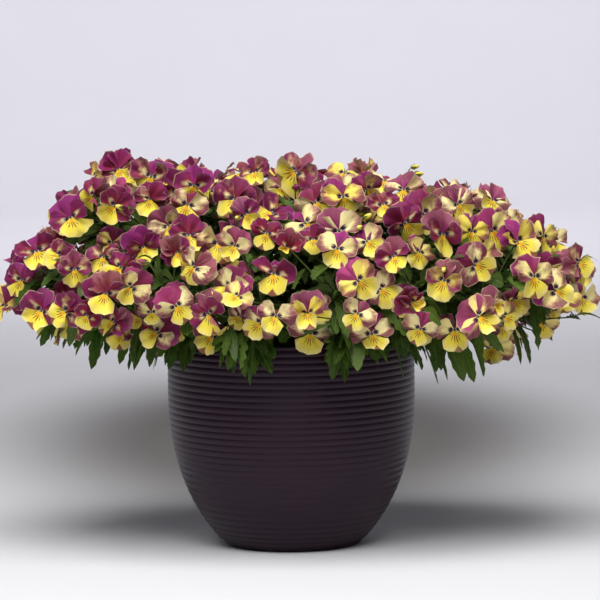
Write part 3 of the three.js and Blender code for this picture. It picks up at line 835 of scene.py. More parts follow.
def side_finish(look):
    """The side petals: cream to raspberry, flushed towards the lip, with a dark eye and a short beard."""
    finish = PetalFinish("side_petal")
    across = finish.across
    along = finish.along
    cream = finish.mix(finish.smooth(finish.age, 0.45, 1.0) * 0.8, look.cream, look.yellow)
    flush = finish.smooth(along + across * 0.45 + (finish.mottle - 0.5) * 0.8 + finish.tone * 0.3, 0.62, 1.12)
    cream = finish.mix(flush * 0.8, cream, look.blush)
    band = finish.smooth(along + across * 0.8 + (finish.veins - 0.5) * 0.9, 0.85, 1.15)
    cream = finish.mix(band * (0.5 + 0.5 * finish.tone), cream, look.wine)
    cream = finish.mix(flush * finish.smooth(finish.veins, 0.45, 0.7) * 0.7, cream, look.magenta)
    streak = 1 - finish.smooth(along + abs(across - 0.1) * 0.6 + (finish.mottle - 0.5) * 0.7, 0.25, 0.74)
    berry = finish.mix(streak * 0.9, berry_of(finish, look), look.cream)
    colour = finish.mix(finish.smooth(finish.tone + (finish.mottle - 0.5) * 0.3, 0.38, 0.66), cream, berry)
    colour = finish.mix(eye_of(finish), pale_rim(finish, colour, look), look.eye)
    hairs = finish.smooth(finish.grain(finish.joined(across * 14, 0.0, finish.age * 9), 2.0, 1.0), 0.4, 0.6)
    beard = (1 - finish.smooth(along, 0.03, 0.075)) * finish.smooth(across, -0.5, 0.2) * (0.4 + 0.6 * hairs)
    return finish.velvet(finish.mix(beard, colour, (0.8, 0.78, 0.66)))


def lip_finish(look):
    """The lip: yellow with an orange throat, dark whiskers and a wine-red mark at its lower edge."""
    finish = PetalFinish("lip_petal")
    across = finish.across
    along = finish.along
    yellow = finish.mix(finish.smooth(finish.veins, 0.3, 0.7) * 0.6, look.yellow, look.lemon)
    paler = finish.smooth(along + (finish.mottle - 0.5) * 0.4, 0.55, 1.05) * (0.75 - 0.5 * finish.tone)
    colour = finish.mix(paler, yellow, look.cream)
    sides = finish.smooth(abs(across) + (finish.mottle - 0.5) * 0.5, 0.75, 1.1)
    sides = sides * finish.smooth(along, 0.4, 0.9)
    colour = finish.mix(sides * 0.6, colour, look.blush)
    throat = 1 - finish.smooth(along + abs(across) * 0.55, 0.3, 0.62)
    colour = finish.mix(throat, colour, look.throat)
    comb = finish.zigzag(across * 3.6 + 0.5)
    reach = along + abs(across) * 0.25 + (finish.mottle - 0.5) * 0.3
    window = finish.smooth(along, 0.16, 0.24) * (1 - finish.smooth(reach, 0.44, 0.66))
    whiskers = (1 - finish.smooth(comb, 0.07, 0.24)) * window
    colour = finish.mix(whiskers * 0.95, colour, look.eye)
    aside = abs(across + (finish.age - 0.5) * 0.3)
    marked = finish.smooth(finish.age * 7 % 1.0, 0.25, 0.5)
    wedge = finish.smooth(along - aside * 1.5 + (finish.mottle - 0.5) * 0.35, 0.6, 0.7) * marked
    colour = finish.mix(finish.smooth(along, 0.95, 1.0) * 0.35, colour, look.cream)
    return finish.velvet(finish.mix(wedge * 0.9, colour, look.mark))


def back_finish(look):
    """The backs of all petals: tan cream with darker veins, pink on the raspberry flowers."""
    finish = PetalFinish("petal_back")
    colour = finish.mix(finish.smooth(finish.tone, 0.25, 0.9), look.tan, look.blush)
    colour = finish.mix(finish.smooth(finish.veins, 0.42, 0.68) * 0.55, colour, look.crimson)
    return finish.velvet(colour)


def finished_template(bm, name):
    """A bmesh as a mesh to copy, smooth but for its sharp edges, with room for each copy's own shades."""
    for face in bm.faces:
        face.smooth = True
    mesh = bpy.data.meshes.new(name)
    bm.to_mesh(mesh)
    bm.free()
    for own in ("tone", "light"):
        mesh.attributes.new(own, "FLOAT", "POINT")
    return mesh


def blade_template(name, across, along, finishes, mirrored=False):
    """A flat closed blade, shaped when it is placed: x runs from -1 to 1 across it, y from 0 to 1 along it,
    and z is -1 behind it and 0 on its face and at its edge."""
    bm = bmesh.new()
    bmesh.ops.create_grid(bm, x_segments=across, y_segments=along, size=1)
    bmesh.ops.translate(bm, verts=bm.verts, vec=(0, 1, 0))
    bmesh.ops.scale(bm, verts=bm.verts, vec=(1, 0.5, 1))
    for corner in [vert for vert in bm.verts if len(vert.link_edges) == 2]:
        inward = max(corner.link_faces[0].verts, key=lambda vert: (vert.co - corner.co).length)
        bmesh.ops.connect_verts(bm, verts=[corner, inward])
    chart = bm.loops.layers.uv.new("blade")
    for face in bm.faces:
        face.material_index = finishes[0]
        for loop in face.loops:
            loop[chart].uv = loop.vert.co.xy
    border = [edge for edge in bm.edges if edge.is_boundary]
    for edge in border:
        edge.smooth = False
    copied = bmesh.ops.duplicate(bm, geom=bm.verts[:] + bm.edges[:] + bm.faces[:])["geom"]
    behind = [part for part in copied if isinstance(part, bmesh.types.BMFace)]
    bmesh.ops.reverse_faces(bm, faces=behind)
    for face in behind:
        face.material_index = finishes[1]
    inner = [part for part in copied if isinstance(part, bmesh.types.BMVert) and not part.is_boundary]
    bmesh.ops.translate(bm, verts=inner, vec=(0, 0, -1))
    bmesh.ops.remove_doubles(bm, verts=bm.verts, dist=1e-5)
    if mirrored:
        bmesh.ops.reverse_faces(bm, faces=bm.faces)
    return finished_template(bm, name)


def tube_template(name, sides, lengths, finish):
    """A capped tube of radius 1 to bend along a curve: z runs from 0 to 1 along it."""
    bm = bmesh.new()
    bmesh.ops.create_cone(bm, cap_ends=True, segments=sides, radius1=1, radius2=1, depth=1)
    bmesh.ops.translate(bm, verts=bm.verts, vec=(0, 0, 0.5))
    for k in range(1, lengths):
        whole = bm.verts[:] + bm.edges[:] + bm.faces[:]
        bmesh.ops.bisect_plane(bm, geom=whole, plane_co=(0, 0, k / lengths), plane_no=(0, 0, 1))
    bm.loops.layers.uv.new("blade")
    for face in bm.faces:
        face.material_index = finish
    return finished_template(bm, name)


def bud_template(name, finish):
    """A closed bud of radius 1 and length 1 that narrows to its tip: z runs from 0 to 1 along it."""
    bm = bmesh.new()
    bmesh.ops.create_uvsphere(bm, u_segments=6, v_segments=5, radius=1)
    bmesh.ops.scale(bm, verts=bm.verts, vec=(1, 1, 0.5))
    bmesh.ops.translate(bm, verts=bm.verts, vec=(0, 0, 0.5))
    chart = bm.loops.layers.uv.new("blade")
    for face in bm.faces:
        face.material_index = finish
        for loop in face.loops:
            loop[chart].uv = (0.3, 0.4 + 0.5 * loop.vert.co.z)
    return finished_template(bm, name)


def add_copy(bm, template, place, tone=0.5, light=0.5):
    """Adds a copy of a template to a bmesh, with its points moved by place, which takes and gives rows."""
    mesh = template.copy()
    count = len(mesh.vertices)
    points = np.empty(3 * count, np.float32)
    mesh.vertices.foreach_get("co", points)
    moved = place(points.reshape(-1, 3).astype(float))
    mesh.vertices.foreach_set("co", moved.astype(np.float32).ravel())
    mesh.attributes["tone"].data.foreach_set("value", np.full(count, tone, np.float32))
    mesh.attributes["light"].data.foreach_set("value", np.full(count, light, np.float32))
    bm.from_mesh(mesh)
    bpy.data.meshes.remove(mesh)


def tube_along(curve, radii):
    """How a tube template's points lie along a curve, with its radius at either end."""
    chord = curve[3] - curve[0]
    level = np.cross(UP, chord)
    side = unit(level) if np.linalg.norm(level) > 1e-6 else np.array((1.0, 0.0, 0.0))

    def place(points):
        share = points[:, 2]
        middle = curve_point(curve, share)
        ahead = curve_point(curve, share + 1e-4) - curve_point(curve, share - 1e-4)
        ahead /= np.linalg.norm(ahead, axis=1)[:, None]
        other = np.cross(ahead, side)
        other /= np.linalg.norm(other, axis=1)[:, None]
        near = np.cross(other, ahead)
        radius = between(radii, share)[:, None]
        return middle + radius * (points[:, :1] * near + points[:, 1:2] * other)

    return place


def finished_piece(name, bm, finishes, nodes):
    """Makes the object of a bmesh. It rides on the planter and stands for the nodes that it replaces."""
    mesh = bpy.data.meshes.new(name)
    bm.to_mesh(mesh)
    bm.free()
    for finish in finishes:
        mesh.materials.append(finish)
    piece = bpy.data.objects.new(name, mesh)
    bpy.context.scene.collection.objects.link(piece)
    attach(piece, BODY)
    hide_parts(*nodes)
    return piece


def turned(profile, steps, merged=1e-6):
    """A profile of radii and heights turned round the pot's axis, its points merged where they meet."""
    bm = bmesh.new()
    verts = [bm.verts.new((radius, 0, height)) for radius, height in profile]
    whole = verts + [bm.edges.new(ends) for ends in pairs(verts)]
    bmesh.ops.spin(
        bm, geom=whole, cent=(0, 0, 0), axis=(0, 0, 1), angle=2 * math.pi, steps=steps, use_merge=True
    )
    bmesh.ops.remove_doubles(bm, verts=bm.verts, dist=merged)
    bmesh.ops.recalc_face_normals(bm, faces=bm.faces)
    for face in bm.faces:
        face.smooth = True
    return bm


def pot_profile(rim_round):
    """The pot's section from the middle of its foot, up its ribs, over its rim and down inside."""
    grooves = groove_heights()
    ribs = [
        (pot_radius(height) - RIB_DEPTH * abs(2 * share - 1) ** 2.4, height)
        for low, high in pairs(grooves)
        for share in RIB_SHARES
        for height in [between((low, high), share)]
    ]
    top = pot_radius(POT_HEIGHT)
    turns = np.linspace(0, math.pi / 2, RIM_STEPS)
    lip = [
        (top - rim_round + rim_round * math.cos(turn), POT_HEIGHT - rim_round + rim_round * math.sin(turn))
        for turn in turns
    ]
    inner = top - POT_WALL
    over = [
        (inner + rim_round - rim_round * math.sin(turn), POT_HEIGHT - rim_round + rim_round * math.cos(turn))
        for turn in turns
    ]
    levels = np.linspace(POT_HEIGHT - STRAIGHT_LIP, POT_FLOOR, WALL_STEPS)
    inside = [(pot_radius(height) - POT_WALL, height) for height in levels]
    foot = [
        (0, 0),
        (FOOT_PAD, 0),
        (FOOT_RECESS[0], RECESS_DEPTH),
        (FOOT_RECESS[1], RECESS_DEPTH),
        (FOOT_RECESS[1] + FOOT_SLOPE, 0),
        (POT_FOOT - 1.5 * MM, 0),
        (POT_FOOT, 0.6 * MM),
    ]
    crown = [(pot_radius(grooves[-1]) - RIB_DEPTH, grooves[-1]), (top, grooves[-1] + 1.2 * MM)]
    return foot + ribs + crown + lip + over + inside + [(0, POT_FLOOR)]


def colour_setting(name, description, default):
    return FloatVectorProperty(name=name, description=description, subtype="COLOR", default=default)


def length_setting(name, description, default):
    return FloatProperty(name=name, description=description, unit="LENGTH", default=default)


class PotLook(bpy.types.PropertyGroup):
    plastic: colour_setting("Plastic", "Colour of the pot", (0.0145, 0.0042, 0.0118))
    roughness: FloatProperty(
        name="Roughness", description="How dull the plastic is", default=0.38, min=0, max=1
    )
    sides: IntProperty(name="Sides", description="Facets round the pot", default=144, min=24, max=256)
    rim_round: length_setting("Rim rounding", "Radius of the rim's edges", 0.0018)


class SoilLook(bpy.types.PropertyGroup):
    earth: colour_setting("Earth", "Colour of the potting soil", (0.035, 0.022, 0.014))
    crumble: length_setting("Crumble", "Height of the crumbs", 0.0028)
    bits: IntProperty(
        name="Bits", description="Bits of bark and grit on the soil", default=160, min=0, max=600
    )


class FoliageLook(bpy.types.PropertyGroup):
    leaf_dark: colour_setting("Dark green", "Shaded leaves", (0.015, 0.036, 0.003))
    leaf_light: colour_setting("Light green", "Young leaves", (0.075, 0.13, 0.012))
    leaf_under: colour_setting("Underside", "Under sides of leaves", (0.06, 0.1, 0.02))
    vein: colour_setting("Vein", "Midribs and veins", (0.13, 0.19, 0.04))
    stem: colour_setting("Stem", "Stems and stalks", (0.07, 0.1, 0.02))
    stem_foot: length_setting("Stem foot", "Radius at the soil", 0.0028)
    stem_tip: length_setting("Stem tip", "Radius at the tip", 0.0016)


class BloomLook(bpy.types.PropertyGroup):
    crimson: colour_setting("Crimson", "Raspberry petals by the claw", (0.2, 0.008, 0.03))
    magenta: colour_setting("Magenta", "Raspberry petals further out", (0.19, 0.014, 0.085))
    pink: colour_setting("Pink", "Paler petals", (0.38, 0.042, 0.16))
    blush: colour_setting("Blush", "Flush of pink", (0.34, 0.05, 0.1))
    wine: colour_setting("Wine", "Darkest red", (0.07, 0.003, 0.018))
    yellow: colour_setting("Yellow", "The lip", (0.86, 0.66, 0.03))
    lemon: colour_setting("Lemon", "Paler yellow", (0.9, 0.78, 0.14))
    cream: colour_setting("Cream", "Pale petals", (0.94, 0.8, 0.37))
    throat: colour_setting("Throat", "Orange throat", (0.85, 0.4, 0.01))
    eye: colour_setting("Eye", "Eyes and whiskers", (0.02, 0.004, 0.03))
    violet: colour_setting("Violet", "Bluer upper petals", (0.25, 0.014, 0.17))
    mark: colour_setting("Mark", "The lip's mark", (0.17, 0.012, 0.03))
    tan: colour_setting("Tan", "Backs of petals", (0.5, 0.29, 0.14))
    ruffle: FloatProperty(name="Ruffle", description="Height of the ruffles, in widths", default=0.062)


class StageLook(bpy.types.PropertyGroup):
    floor: colour_setting("Floor", "Pale floor", (0.79, 0.79, 0.81))
    # The colour of a shadow painted on the floor behind the pot, then how deep that painted shadow is, where
    # its middle lies, and its half width and half depth
    shade: colour_setting("Shade", "Tone of the floor behind the pot", (0.085, 0.072, 0.064))
    shading: FloatProperty(name="Shading", description="How deep the tone behind the pot is", default=0.86)
    painted_shadow_at: length_setting("Shade at", "Its middle behind the pot", 1.0)
    painted_shadow_half_width: length_setting("Shade width", "Half its width", 0.57)
    painted_shadow_half_depth: length_setting("Shade depth", "Half its depth", 1.1)
    distance: length_setting("Distance", "Camera to the pot", 4.5)
    height: length_setting("Height", "Camera over the floor", 0.717)
    aim_x: length_setting("Aim aside", "Middle of the view", 0.012)
    aim_z: length_setting("Aim height", "Middle of the view", 0.296)
    lens: FloatProperty(name="Lens", description="Focal length in millimetres", default=223.7)
    roll: FloatProperty(
        name="Roll", description="Turn of the camera", default=math.radians(-0.8), subtype="ANGLE"
    )
    key: FloatProperty(name="Key light", description="Power of the light overhead, in watts", default=93)
    fill: FloatProperty(name="Fill light", description="Power of the light in front, in watts", default=4)
    wall: FloatProperty(
        name="Wall light", description="Power of the light on the far wall, in watts", default=255
    )
    sky: FloatProperty(name="Sky", description="Strength of the even light all round", default=0.082)


def shoots_of(plant):
    return range(plant * SHOOTS_A_PLANT, (plant + 1) * SHOOTS_A_PLANT)


def finished_plant(plant, part, bm, finishes):
    """A plant's foliage or its blooms, which stand for all its shoots."""
    nodes = [f"plant_{plant + 1}_shoot_{k + 1}" for k in range(SHOOTS_A_PLANT)]
    finished_piece(f"plant_{plant + 1}_{part}", bm, finishes, nodes)


class PLANTER_OT_pot(bpy.types.Operator):
    """Turn the ribbed pot and cut its drain holes"""

    bl_idname = "planter.pot"
    bl_label = "Pot"

    def execute(self, context):
        look = context.scene.planter_pot
        bm = turned(pot_profile(look.rim_round), look.sides)
        pot = finished_piece("ribbed_pot", bm, [plastic_finish(look)], ["pot"])
        cutter_shape = bmesh.new()
        for k in range(DRAIN_HOLES):
            turn = 2 * math.pi * k / DRAIN_HOLES
            at = (DRAIN_CIRCLE * math.cos(turn), DRAIN_CIRCLE * math.sin(turn), POT_FLOOR / 2)
            bmesh.ops.create_cone(
                cutter_shape,
                cap_ends=True,
                segments=DRAIN_SIDES,
                radius1=DRAIN_RADIUS,
                radius2=DRAIN_RADIUS,
                depth=3 * POT_FLOOR,
                matrix=Matrix.Translation(at),
            )
        cutter_mesh = bpy.data.meshes.new("drain_cutter")
        cutter_shape.to_mesh(cutter_mesh)
        cutter_shape.free()
        cutter = bpy.data.objects.new("drain_cutter", cutter_mesh)
        context.scene.collection.objects.link(cutter)
        holes = pot.modifiers.new("drain_holes", "BOOLEAN")
        holes.operation = "DIFFERENCE"
        holes.object = cutter
        bored = bpy.data.meshes.new_from_object(pot.evaluated_get(context.evaluated_depsgraph_get()))
        pot.modifiers.clear()
        pot.data = bored
        bpy.data.objects.remove(cutter)
        return {"FINISHED"}


class PLANTER_OT_soil(bpy.types.Operator):
    """Fill the pot with crumbly soil"""

    bl_idname = "planter.soil"
    bl_label = "Soil"

    def execute(self, context):
        look = context.scene.planter_soil
        edge = pot_radius(SOIL_TOP) - POT_WALL - WALL_GAP
        bottom = POT_FLOOR + SEAT_GAP
        levels = np.linspace(bottom, SOIL_TOP, SOIL_LEVELS)
        sides = [(pot_radius(height) - POT_WALL - WALL_GAP, height) for height in levels]
        top = [
            (radius, SOIL_TOP + SOIL_CROWN * (1 - radius / edge) * min(1, (edge - radius) / SOIL_EDGE))
            for radius in np.linspace(edge - MM, 0, SOIL_RINGS)
        ]
        bm = turned([(0, bottom), *sides, *top], SOIL_SIDES)
        centres = [Vector(centre) for centre in plant_centres()]
        for vert in bm.verts:
            if vert.co.z < SOIL_TOP - MM or vert.co.xy.length > edge - 2 * MM:
                continue
            hole = min((vert.co.xy - centre.xy).length for centre in centres)
            dip = max(0, min(1, (CROWN_HOLE - hole) / CROWN_SLOPE))
            rough = noise.fractal(vert.co * CRUMB_SCALE, 0.6, 2.1, 4)
            vert.co.z += look.crumble * rough * (1 - 0.7 * dip) - (CROWN_DEPTH + SOIL_CROWN) * dip
        random = np.random.default_rng(BITS_SEED)
        for _ in range(look.bits):
            radius = (edge - BITS_INSET) * math.sqrt(random.random())
            turn = 2 * math.pi * random.random()
            height = SOIL_TOP + SOIL_CROWN * (1 - radius / edge)
            at = Vector((radius * math.cos(turn), radius * math.sin(turn), height))
            if min((at.xy - centre.xy).length for centre in centres) < CROWN_HOLE:
                continue
            size = between(BIT_SIZE, random.random())
            roll = 2 * math.pi * random.random()
            axis = Vector(random.random(3) - 0.5).normalized()
            lying = Matrix.Rotation(roll, 4, axis).to_quaternion()
            shape = Matrix.LocRotScale(at, lying, Vector(times(BIT_SHAPE, size)))
            bmesh.ops.create_icosphere(bm, subdivisions=1, radius=1, matrix=shape)
        finished_piece("crumbly_soil", bm, [soil_finish(look)], ["potting_soil"])
        return {"FINISHED"}


def leaf_shape(leaf, random):
    """How a leaf template's points lie: toothed, folded along its midrib, curved to one side and drooping."""
    heading = leaf.heading
    level = np.cross(heading, UP)
    level = unit(level) if np.linalg.norm(level) > 0.05 else unit(np.cross(heading, (0.0, 1.0, 0.0)))
    top = np.cross(level, heading)
    roll = random.normal(0, LEAF_ROLL)
    side = level * math.cos(roll) + top * math.sin(roll)
    face = top * math.cos(roll) - level * math.sin(roll)
    fold = random.uniform(*LEAF_FOLD)
    sweep = random.normal(0, LEAF_SWEEP)
    curl = random.normal(0, LEAF_CURL)
    broader = random.uniform(*LEAF_BROADER)
    notch = NOTCHES[0 if random.random() < DEEP_TOOTHED else 1]

    def place(points):
        across, along, behind = points.T
        row = np.rint(along * LEAF_ROWS).astype(int)
        along = 1 - (1 - along) ** TIP_CROWDED
        outline = np.sin(math.pi * np.clip((along - 0.1) / 0.9, 0, 1) ** 1.45) ** 0.6
        tooth = np.where(row % 2 == 0, 1.0, notch)
        half = leaf.width / 2 * broader * np.maximum(outline * tooth, np.where(along > 0.5, 0.04, 0.12))
        height = fold * np.abs(across) * half + 0.5 * MM * behind * (1 - np.abs(across)) ** 0.5
        height += curl * along * across * half
        aside = across * half + sweep * leaf.length * along ** 2
        return leaf_point(leaf, along) + aside[:, None] * side + height[:, None] * face

    return place


def side_leaf(base, heading, length, random):
    """A leaf of a side shoot or of a stem's tip."""
    width = length * random.uniform(*LEAF_WIDTH)
    return Leaf(base, unit(heading), length, width, random.uniform(*LEAF_DROOP))


def leaves_along(twig, count, span, pull, random):
    """Leaves along a twig, in random directions round it that turn a little to a pull."""
    leaves = []
    for k in range(count):
        share = between(span, (k + random.random()) / count)
        base = curve_point(twig, share)
        ahead = unit(twig[3] - twig[0])
        aside = np.cross(ahead, random.normal(0, 1, 3))
        length = random.uniform(*LEAF_LENGTH) * random.uniform(0.62, 1.0)
        leaves.append(side_leaf(base, unit(aside) + 0.7 * ahead + pull, length, random))
    return leaves


def side_shoots(curve, random):
    """Leafy side shoots of a stem, as their curves."""
    twigs = []
    for _ in range(SIDE_SHOOTS[1 if hangs(curve) else 0]):
        share = random.uniform(*SIDE_SPAN)
        base = curve_point(curve, share)
        outward = unit(base * (1, 1, 0))
        pull = (-SIDE_HANGS if hangs(curve) else SIDE_PULL) * UP
        heading = unit(random.normal(0, 1, 3)) + SIDE_OUT * outward + pull
        heading = unit(heading + SIDE_AHEAD * curve_tangent(curve, share))
        reach = heading * random.uniform(*SIDE_LENGTH)
        end = base + reach - UP * SIDE_SAGS * reach[2]
        twigs.append(np.array((base, base + reach / 3, base + reach * 0.7, end)))
    return twigs


def above_fringe(leaf, random):
    """Most leaves end above the lower edge of the foliage, and a few hang further down."""
    tip = leaf_point(leaf, 1)
    edge = FRINGE_BEFORE_POT if abs(tip[0]) < POT_WIDEST else FRINGE
    return tip[2] > between(edge, random.random() ** 0.35)


def clear_of_faces(leaf, flowers):
    """Whether a leaf hides no flower's face."""
    for point in leaf_point(leaf, (0.3, 0.6, 0.85, 1)):
        apart = point - flowers.at
        height = (apart * flowers.facing).sum(1)
        across = np.sqrt(np.maximum(0, (apart * apart).sum(1) - height ** 2))
        ahead = (height > FACE_ROOM[0]) & (height < FACE_ROOM[1])
        if (ahead & (across < 0.5 * flowers.width)).any():
            return False
    return True


class PLANTER_OT_foliage(bpy.types.Operator):
    """Grow the stems, stalks and leaves of the seven plants"""

    bl_idname = "planter.foliage"
    bl_label = "Foliage"

    def execute(self, context):
        look = context.scene.planter_foliage
        curves, flowers = growth()
        finishes = [
            leaf_finish(look, "leaf_face", True),
            leaf_finish(look, "leaf_back", False),
            stem_finish(look),
        ]
        blade = blade_template("leaf_blade", 2, LEAF_ROWS, (0, 1))
        stem = tube_template("stem_tube", 8, 12, 2)
        stalk = tube_template("stalk_tube", 5, 6, 2)
        twig = tube_template("twig_tube", 4, 3, 2)
        faces = SimpleNamespace(
            at=np.array([flower.at for flower in flowers]),
            facing=np.array([flower.facing for flower in flowers]),
            width=np.array([flower.width for flower in flowers]),
        )
        for plant in range(PLANTS):
            bm = bmesh.new()
            for shoot in shoots_of(plant):
                curve = curves[shoot]
                random = np.random.default_rng(SIDE_SEED + shoot)
                add_copy(bm, stem, tube_along(curve, (look.stem_foot, look.stem_tip)))
                leaves = []
                pull = 0.35 * unit(curve[3] * (1, 1, 0)) - 0.45 * UP if hangs(curve) else 0.15 * UP
                for side in side_shoots(curve, random):
                    own = leaves_along(side, SIDE_LEAVES, (0.35, 1), pull, random)
                    own = [leaf for leaf in own if clear_of_pot(leaf)]
                    if own:
                        add_copy(bm, twig, tube_along(side, TWIG_RADII))
                        leaves += own
                for flower in flowers:
                    if flower.shoot == shoot:
                        way = stalk_curve(flower, curve)
                        add_copy(bm, stalk, tube_along(way, STALK_RADII))
                        leaves += leaves_along(way[::-1], STALK_LEAVES, (0.1, 0.6), pull, random)
                back = curve_tangent(curve, 0.99) * TIP_REACH
                tip = np.array([curve[3] - back * k for k in (1, 0.6, 0.3, 0)])
                leaves += leaves_along(tip, TIP_LEAVES, (0.3, 1), pull, random)
                leaves = leaves_of(curve, shoot) + [leaf for leaf in leaves if above_fringe(leaf, random)]
                for leaf in leaves:
                    if clear_of_pot(leaf) and clear_of_faces(leaf, faces):
                        add_copy(bm, blade, leaf_shape(leaf, random), tone=random.uniform(0, 0.85))
            finished_plant(plant, "foliage", bm, finishes)
        return {"FINISHED"}


def stalk_curve(flower, stem):
    """A stalk's curve from behind the flower down into the stem."""
    foot = curve_point(stem, flower.share)
    return np.array((
        flower.calyx,
        flower.calyx - flower.facing * 7 * MM,
        flower.calyx + 0.6 * (foot - flower.calyx),
        foot,
    ))


def flower_habit(flower, random):
    """How far a flower's petals lean forward, in radians, and how its upper petals lie back."""
    closing = random.random() < CLOSING[1 if flower.small else 0]
    lean = random.uniform(*CLOSING_LEAN) if closing else random.normal(*OPEN_LEAN)
    lying = UPPER_BACK[0 if random.random() < 0.5 else 1]
    return lean, random.uniform(*lying)


def petal_shape(petal, flower, habit, ruffle, random):
    """How a petal template's points lie round the throat, with its lean, curl, ruffles and thickness."""
    phase = random.uniform(0, 2 * math.pi, 3)
    waves = random.uniform(1.3, 2.8)
    reach = petal.reach * random.uniform(0.92, 1.06)
    turn = petal.turn + random.normal(0, 5)
    lean = habit[0] + random.normal(0, 0.1) - (habit[1] if petal.kind == "upper" else 0)
    twist = random.normal(0, 0.13)
    hollow = random.normal(0.02, 0.1)
    curl = random.normal(-0.02, 0.1)

    def place(points):
        across, along, behind = points.T
        edge = 1 - petal.fall * np.abs(across) ** 2.6
        edge += 0.035 * np.sin(2.2 * waves * math.pi * across + phase[1])
        if petal.kind == "lip":
            edge -= 0.05 * np.exp(-((across / 0.2) ** 2))
        out = CLAW + (reach * edge - CLAW) * along
        angle = np.radians(turn - petal.side * petal.spread * across)
        height = petal.lies * (0.3 + 0.7 * along) + petal.lifts * along ** 2
        height += twist * across * along + hollow * across ** 2 * along + curl * along ** 3
        height += ruffle * along ** 1.7 * np.sin(waves * math.pi * across + phase[0])
        height += 0.5 * ruffle * along ** 3 * np.sin(5.5 * across + phase[2])
        radius = out * math.cos(lean) - height * math.sin(lean)
        height = out * math.sin(lean) + height * math.cos(lean) + PETAL_THICKNESS * behind
        across_face = (radius * np.cos(angle))[:, None] * flower.across
        up_face = (radius * np.sin(angle))[:, None] * flower.upright
        return flower.at + flower.width * (across_face + up_face + height[:, None] * flower.facing)

    return place


def sepal_shape(flower, turn):
    """How a sepal lies behind the petals, from the calyx out."""
    out = flower.across * math.cos(turn) + flower.upright * math.sin(turn)
    side = np.cross(flower.facing, out)

    def place(points):
        across, along, behind = points.T
        reach = 2 * MM + 0.2 * flower.width * along
        half = 0.035 * flower.width * (1.05 - along) ** 0.7
        height = -0.11 * flower.width * (1 - 0.45 * along) + 0.5 * MM * behind
        aside = (across * half)[:, None] * side
        return flower.at + reach[:, None] * out + aside + height[:, None] * flower.facing

    return place


def bud_shape(stem, random):
    """A bud's stalk from a stem's tip, and how the bud's and its sepals' points lie at its end."""
    tip = stem[3]
    outward = unit((tip - stem[0]) * (1, 1, 0.6))
    heading = unit(outward + 0.8 * UP + random.normal(0, 0.3, 3))
    reach = random.uniform(*BUD_REACH)
    top = tip + heading * reach
    nod = unit(outward - 0.4 * UP + random.normal(0, 0.3, 3))
    stalk = np.array((tip, tip + heading * reach * 0.6, top, top + nod * 4 * MM))
    length = random.uniform(9, 15) * MM
    thick = length * random.uniform(0.25, 0.33)
    side = unit(np.cross(nod, UP))
    other = np.cross(side, nod)

    def bud(points):
        swell = thick * (1.15 - 0.5 * points[:, 2:3])
        around = swell * (points[:, :1] * side + points[:, 1:2] * other)
        return stalk[3] + around + length * points[:, 2:3] * nod

    def sepal(turn):
        out = side * math.cos(turn) + other * math.sin(turn)
        flank = np.cross(nod, out)

        def place(points):
            across, along, behind = points.T
            rise = (0.75 * length * along)[:, None] * nod
            girth = 1.15 * thick * np.sqrt(np.clip(1 - (1.7 * along - 0.8) ** 2, 0.05, 1))
            round_bud = girth[:, None] * out
            blade = (across * 0.45 * thick * (1.05 - along) ** 0.6)[:, None] * flank
            return stalk[3] + rise + round_bud + blade + (0.4 * MM * behind)[:, None] * out

        return place

    return stalk, bud, sepal


def bloom_tone(flower, random):
    """0 for a cream and yellow flower with pink upper petals, 1 for a deep raspberry one."""
    aside = flower.at[0] / MOUND_HALF_X
    high = (flower.at[2] - MOUND_MIDDLE) / MOUND_ABOVE
    return float(np.clip(0.46 - 0.25 * aside + 0.25 * (high - 0.4) + random.normal(0, 0.2), 0, 1))


def bloom_templates():
    """What flowers and buds are put together from."""
    petals = {}
    for petal in PETALS:
        name = f"{petal.kind}_petal"
        faces = (PETAL_FACES[petal.kind], PETAL_BACK)
        petals[petal] = blade_template(name, PETAL_ACROSS, PETAL_ALONG, faces, petal.side < 0)
    return SimpleNamespace(
        petals=petals,
        sepal=blade_template("sepal", 2, 2, (GREEN, GREEN), mirrored=True),
        calyx=tube_template("calyx_tube", 6, 2, GREEN),
        spur=tube_template("spur_tube", 5, 2, PETAL_BACK),
        stalk=tube_template("bud_stalk_tube", 5, 4, GREEN),
        buds=[bud_template(f"bud_{kind}", PETAL_FACES[kind]) for kind in ("lip", "upper", "lip")],
    )


def add_flower(bm, flower, made, ruffle):
    """Adds a flower's five petals, its sepals, its calyx and its spur."""
    random = np.random.default_rng(FLOWER_SEED + flower.number)
    tone = bloom_tone(flower, random)
    age = random.random()
    habit = flower_habit(flower, random)
    for petal in PETALS:
        shape = petal_shape(petal, flower, habit, ruffle, random)
        add_copy(bm, made.petals[petal], shape, tone=tone, light=age)
    for k in range(5):
        add_copy(bm, made.sepal, sepal_shape(flower, math.pi / 2 + 2 * math.pi * k / 5))
    neck = np.array([flower.calyx + flower.facing * CALYX * share for share in (0, 0.3, 0.6, 0.9)])
    add_copy(bm, made.calyx, tube_along(neck, CALYX_RADII))
    horn = [flower.at + (flower.facing * back + flower.upright * low) * MM for back, low in SPUR_BENDS]
    add_copy(bm, made.spur, tube_along(np.array(horn), SPUR_RADII), tone=tone, light=age)


def add_buds(bm, stem, made, random):
    """Adds up to two buds on stalks at a stem's tip."""
    for _ in range(random.integers(0, 3)):
        way, bud, sepal = bud_shape(stem, random)
        add_copy(bm, made.stalk, tube_along(way, BUD_STALK_RADII))
        kind = made.buds[random.integers(0, 3)]
        add_copy(bm, kind, bud, tone=random.random(), light=random.random())
        for k in range(4):
            add_copy(bm, made.sepal, sepal(math.pi * k / 2))


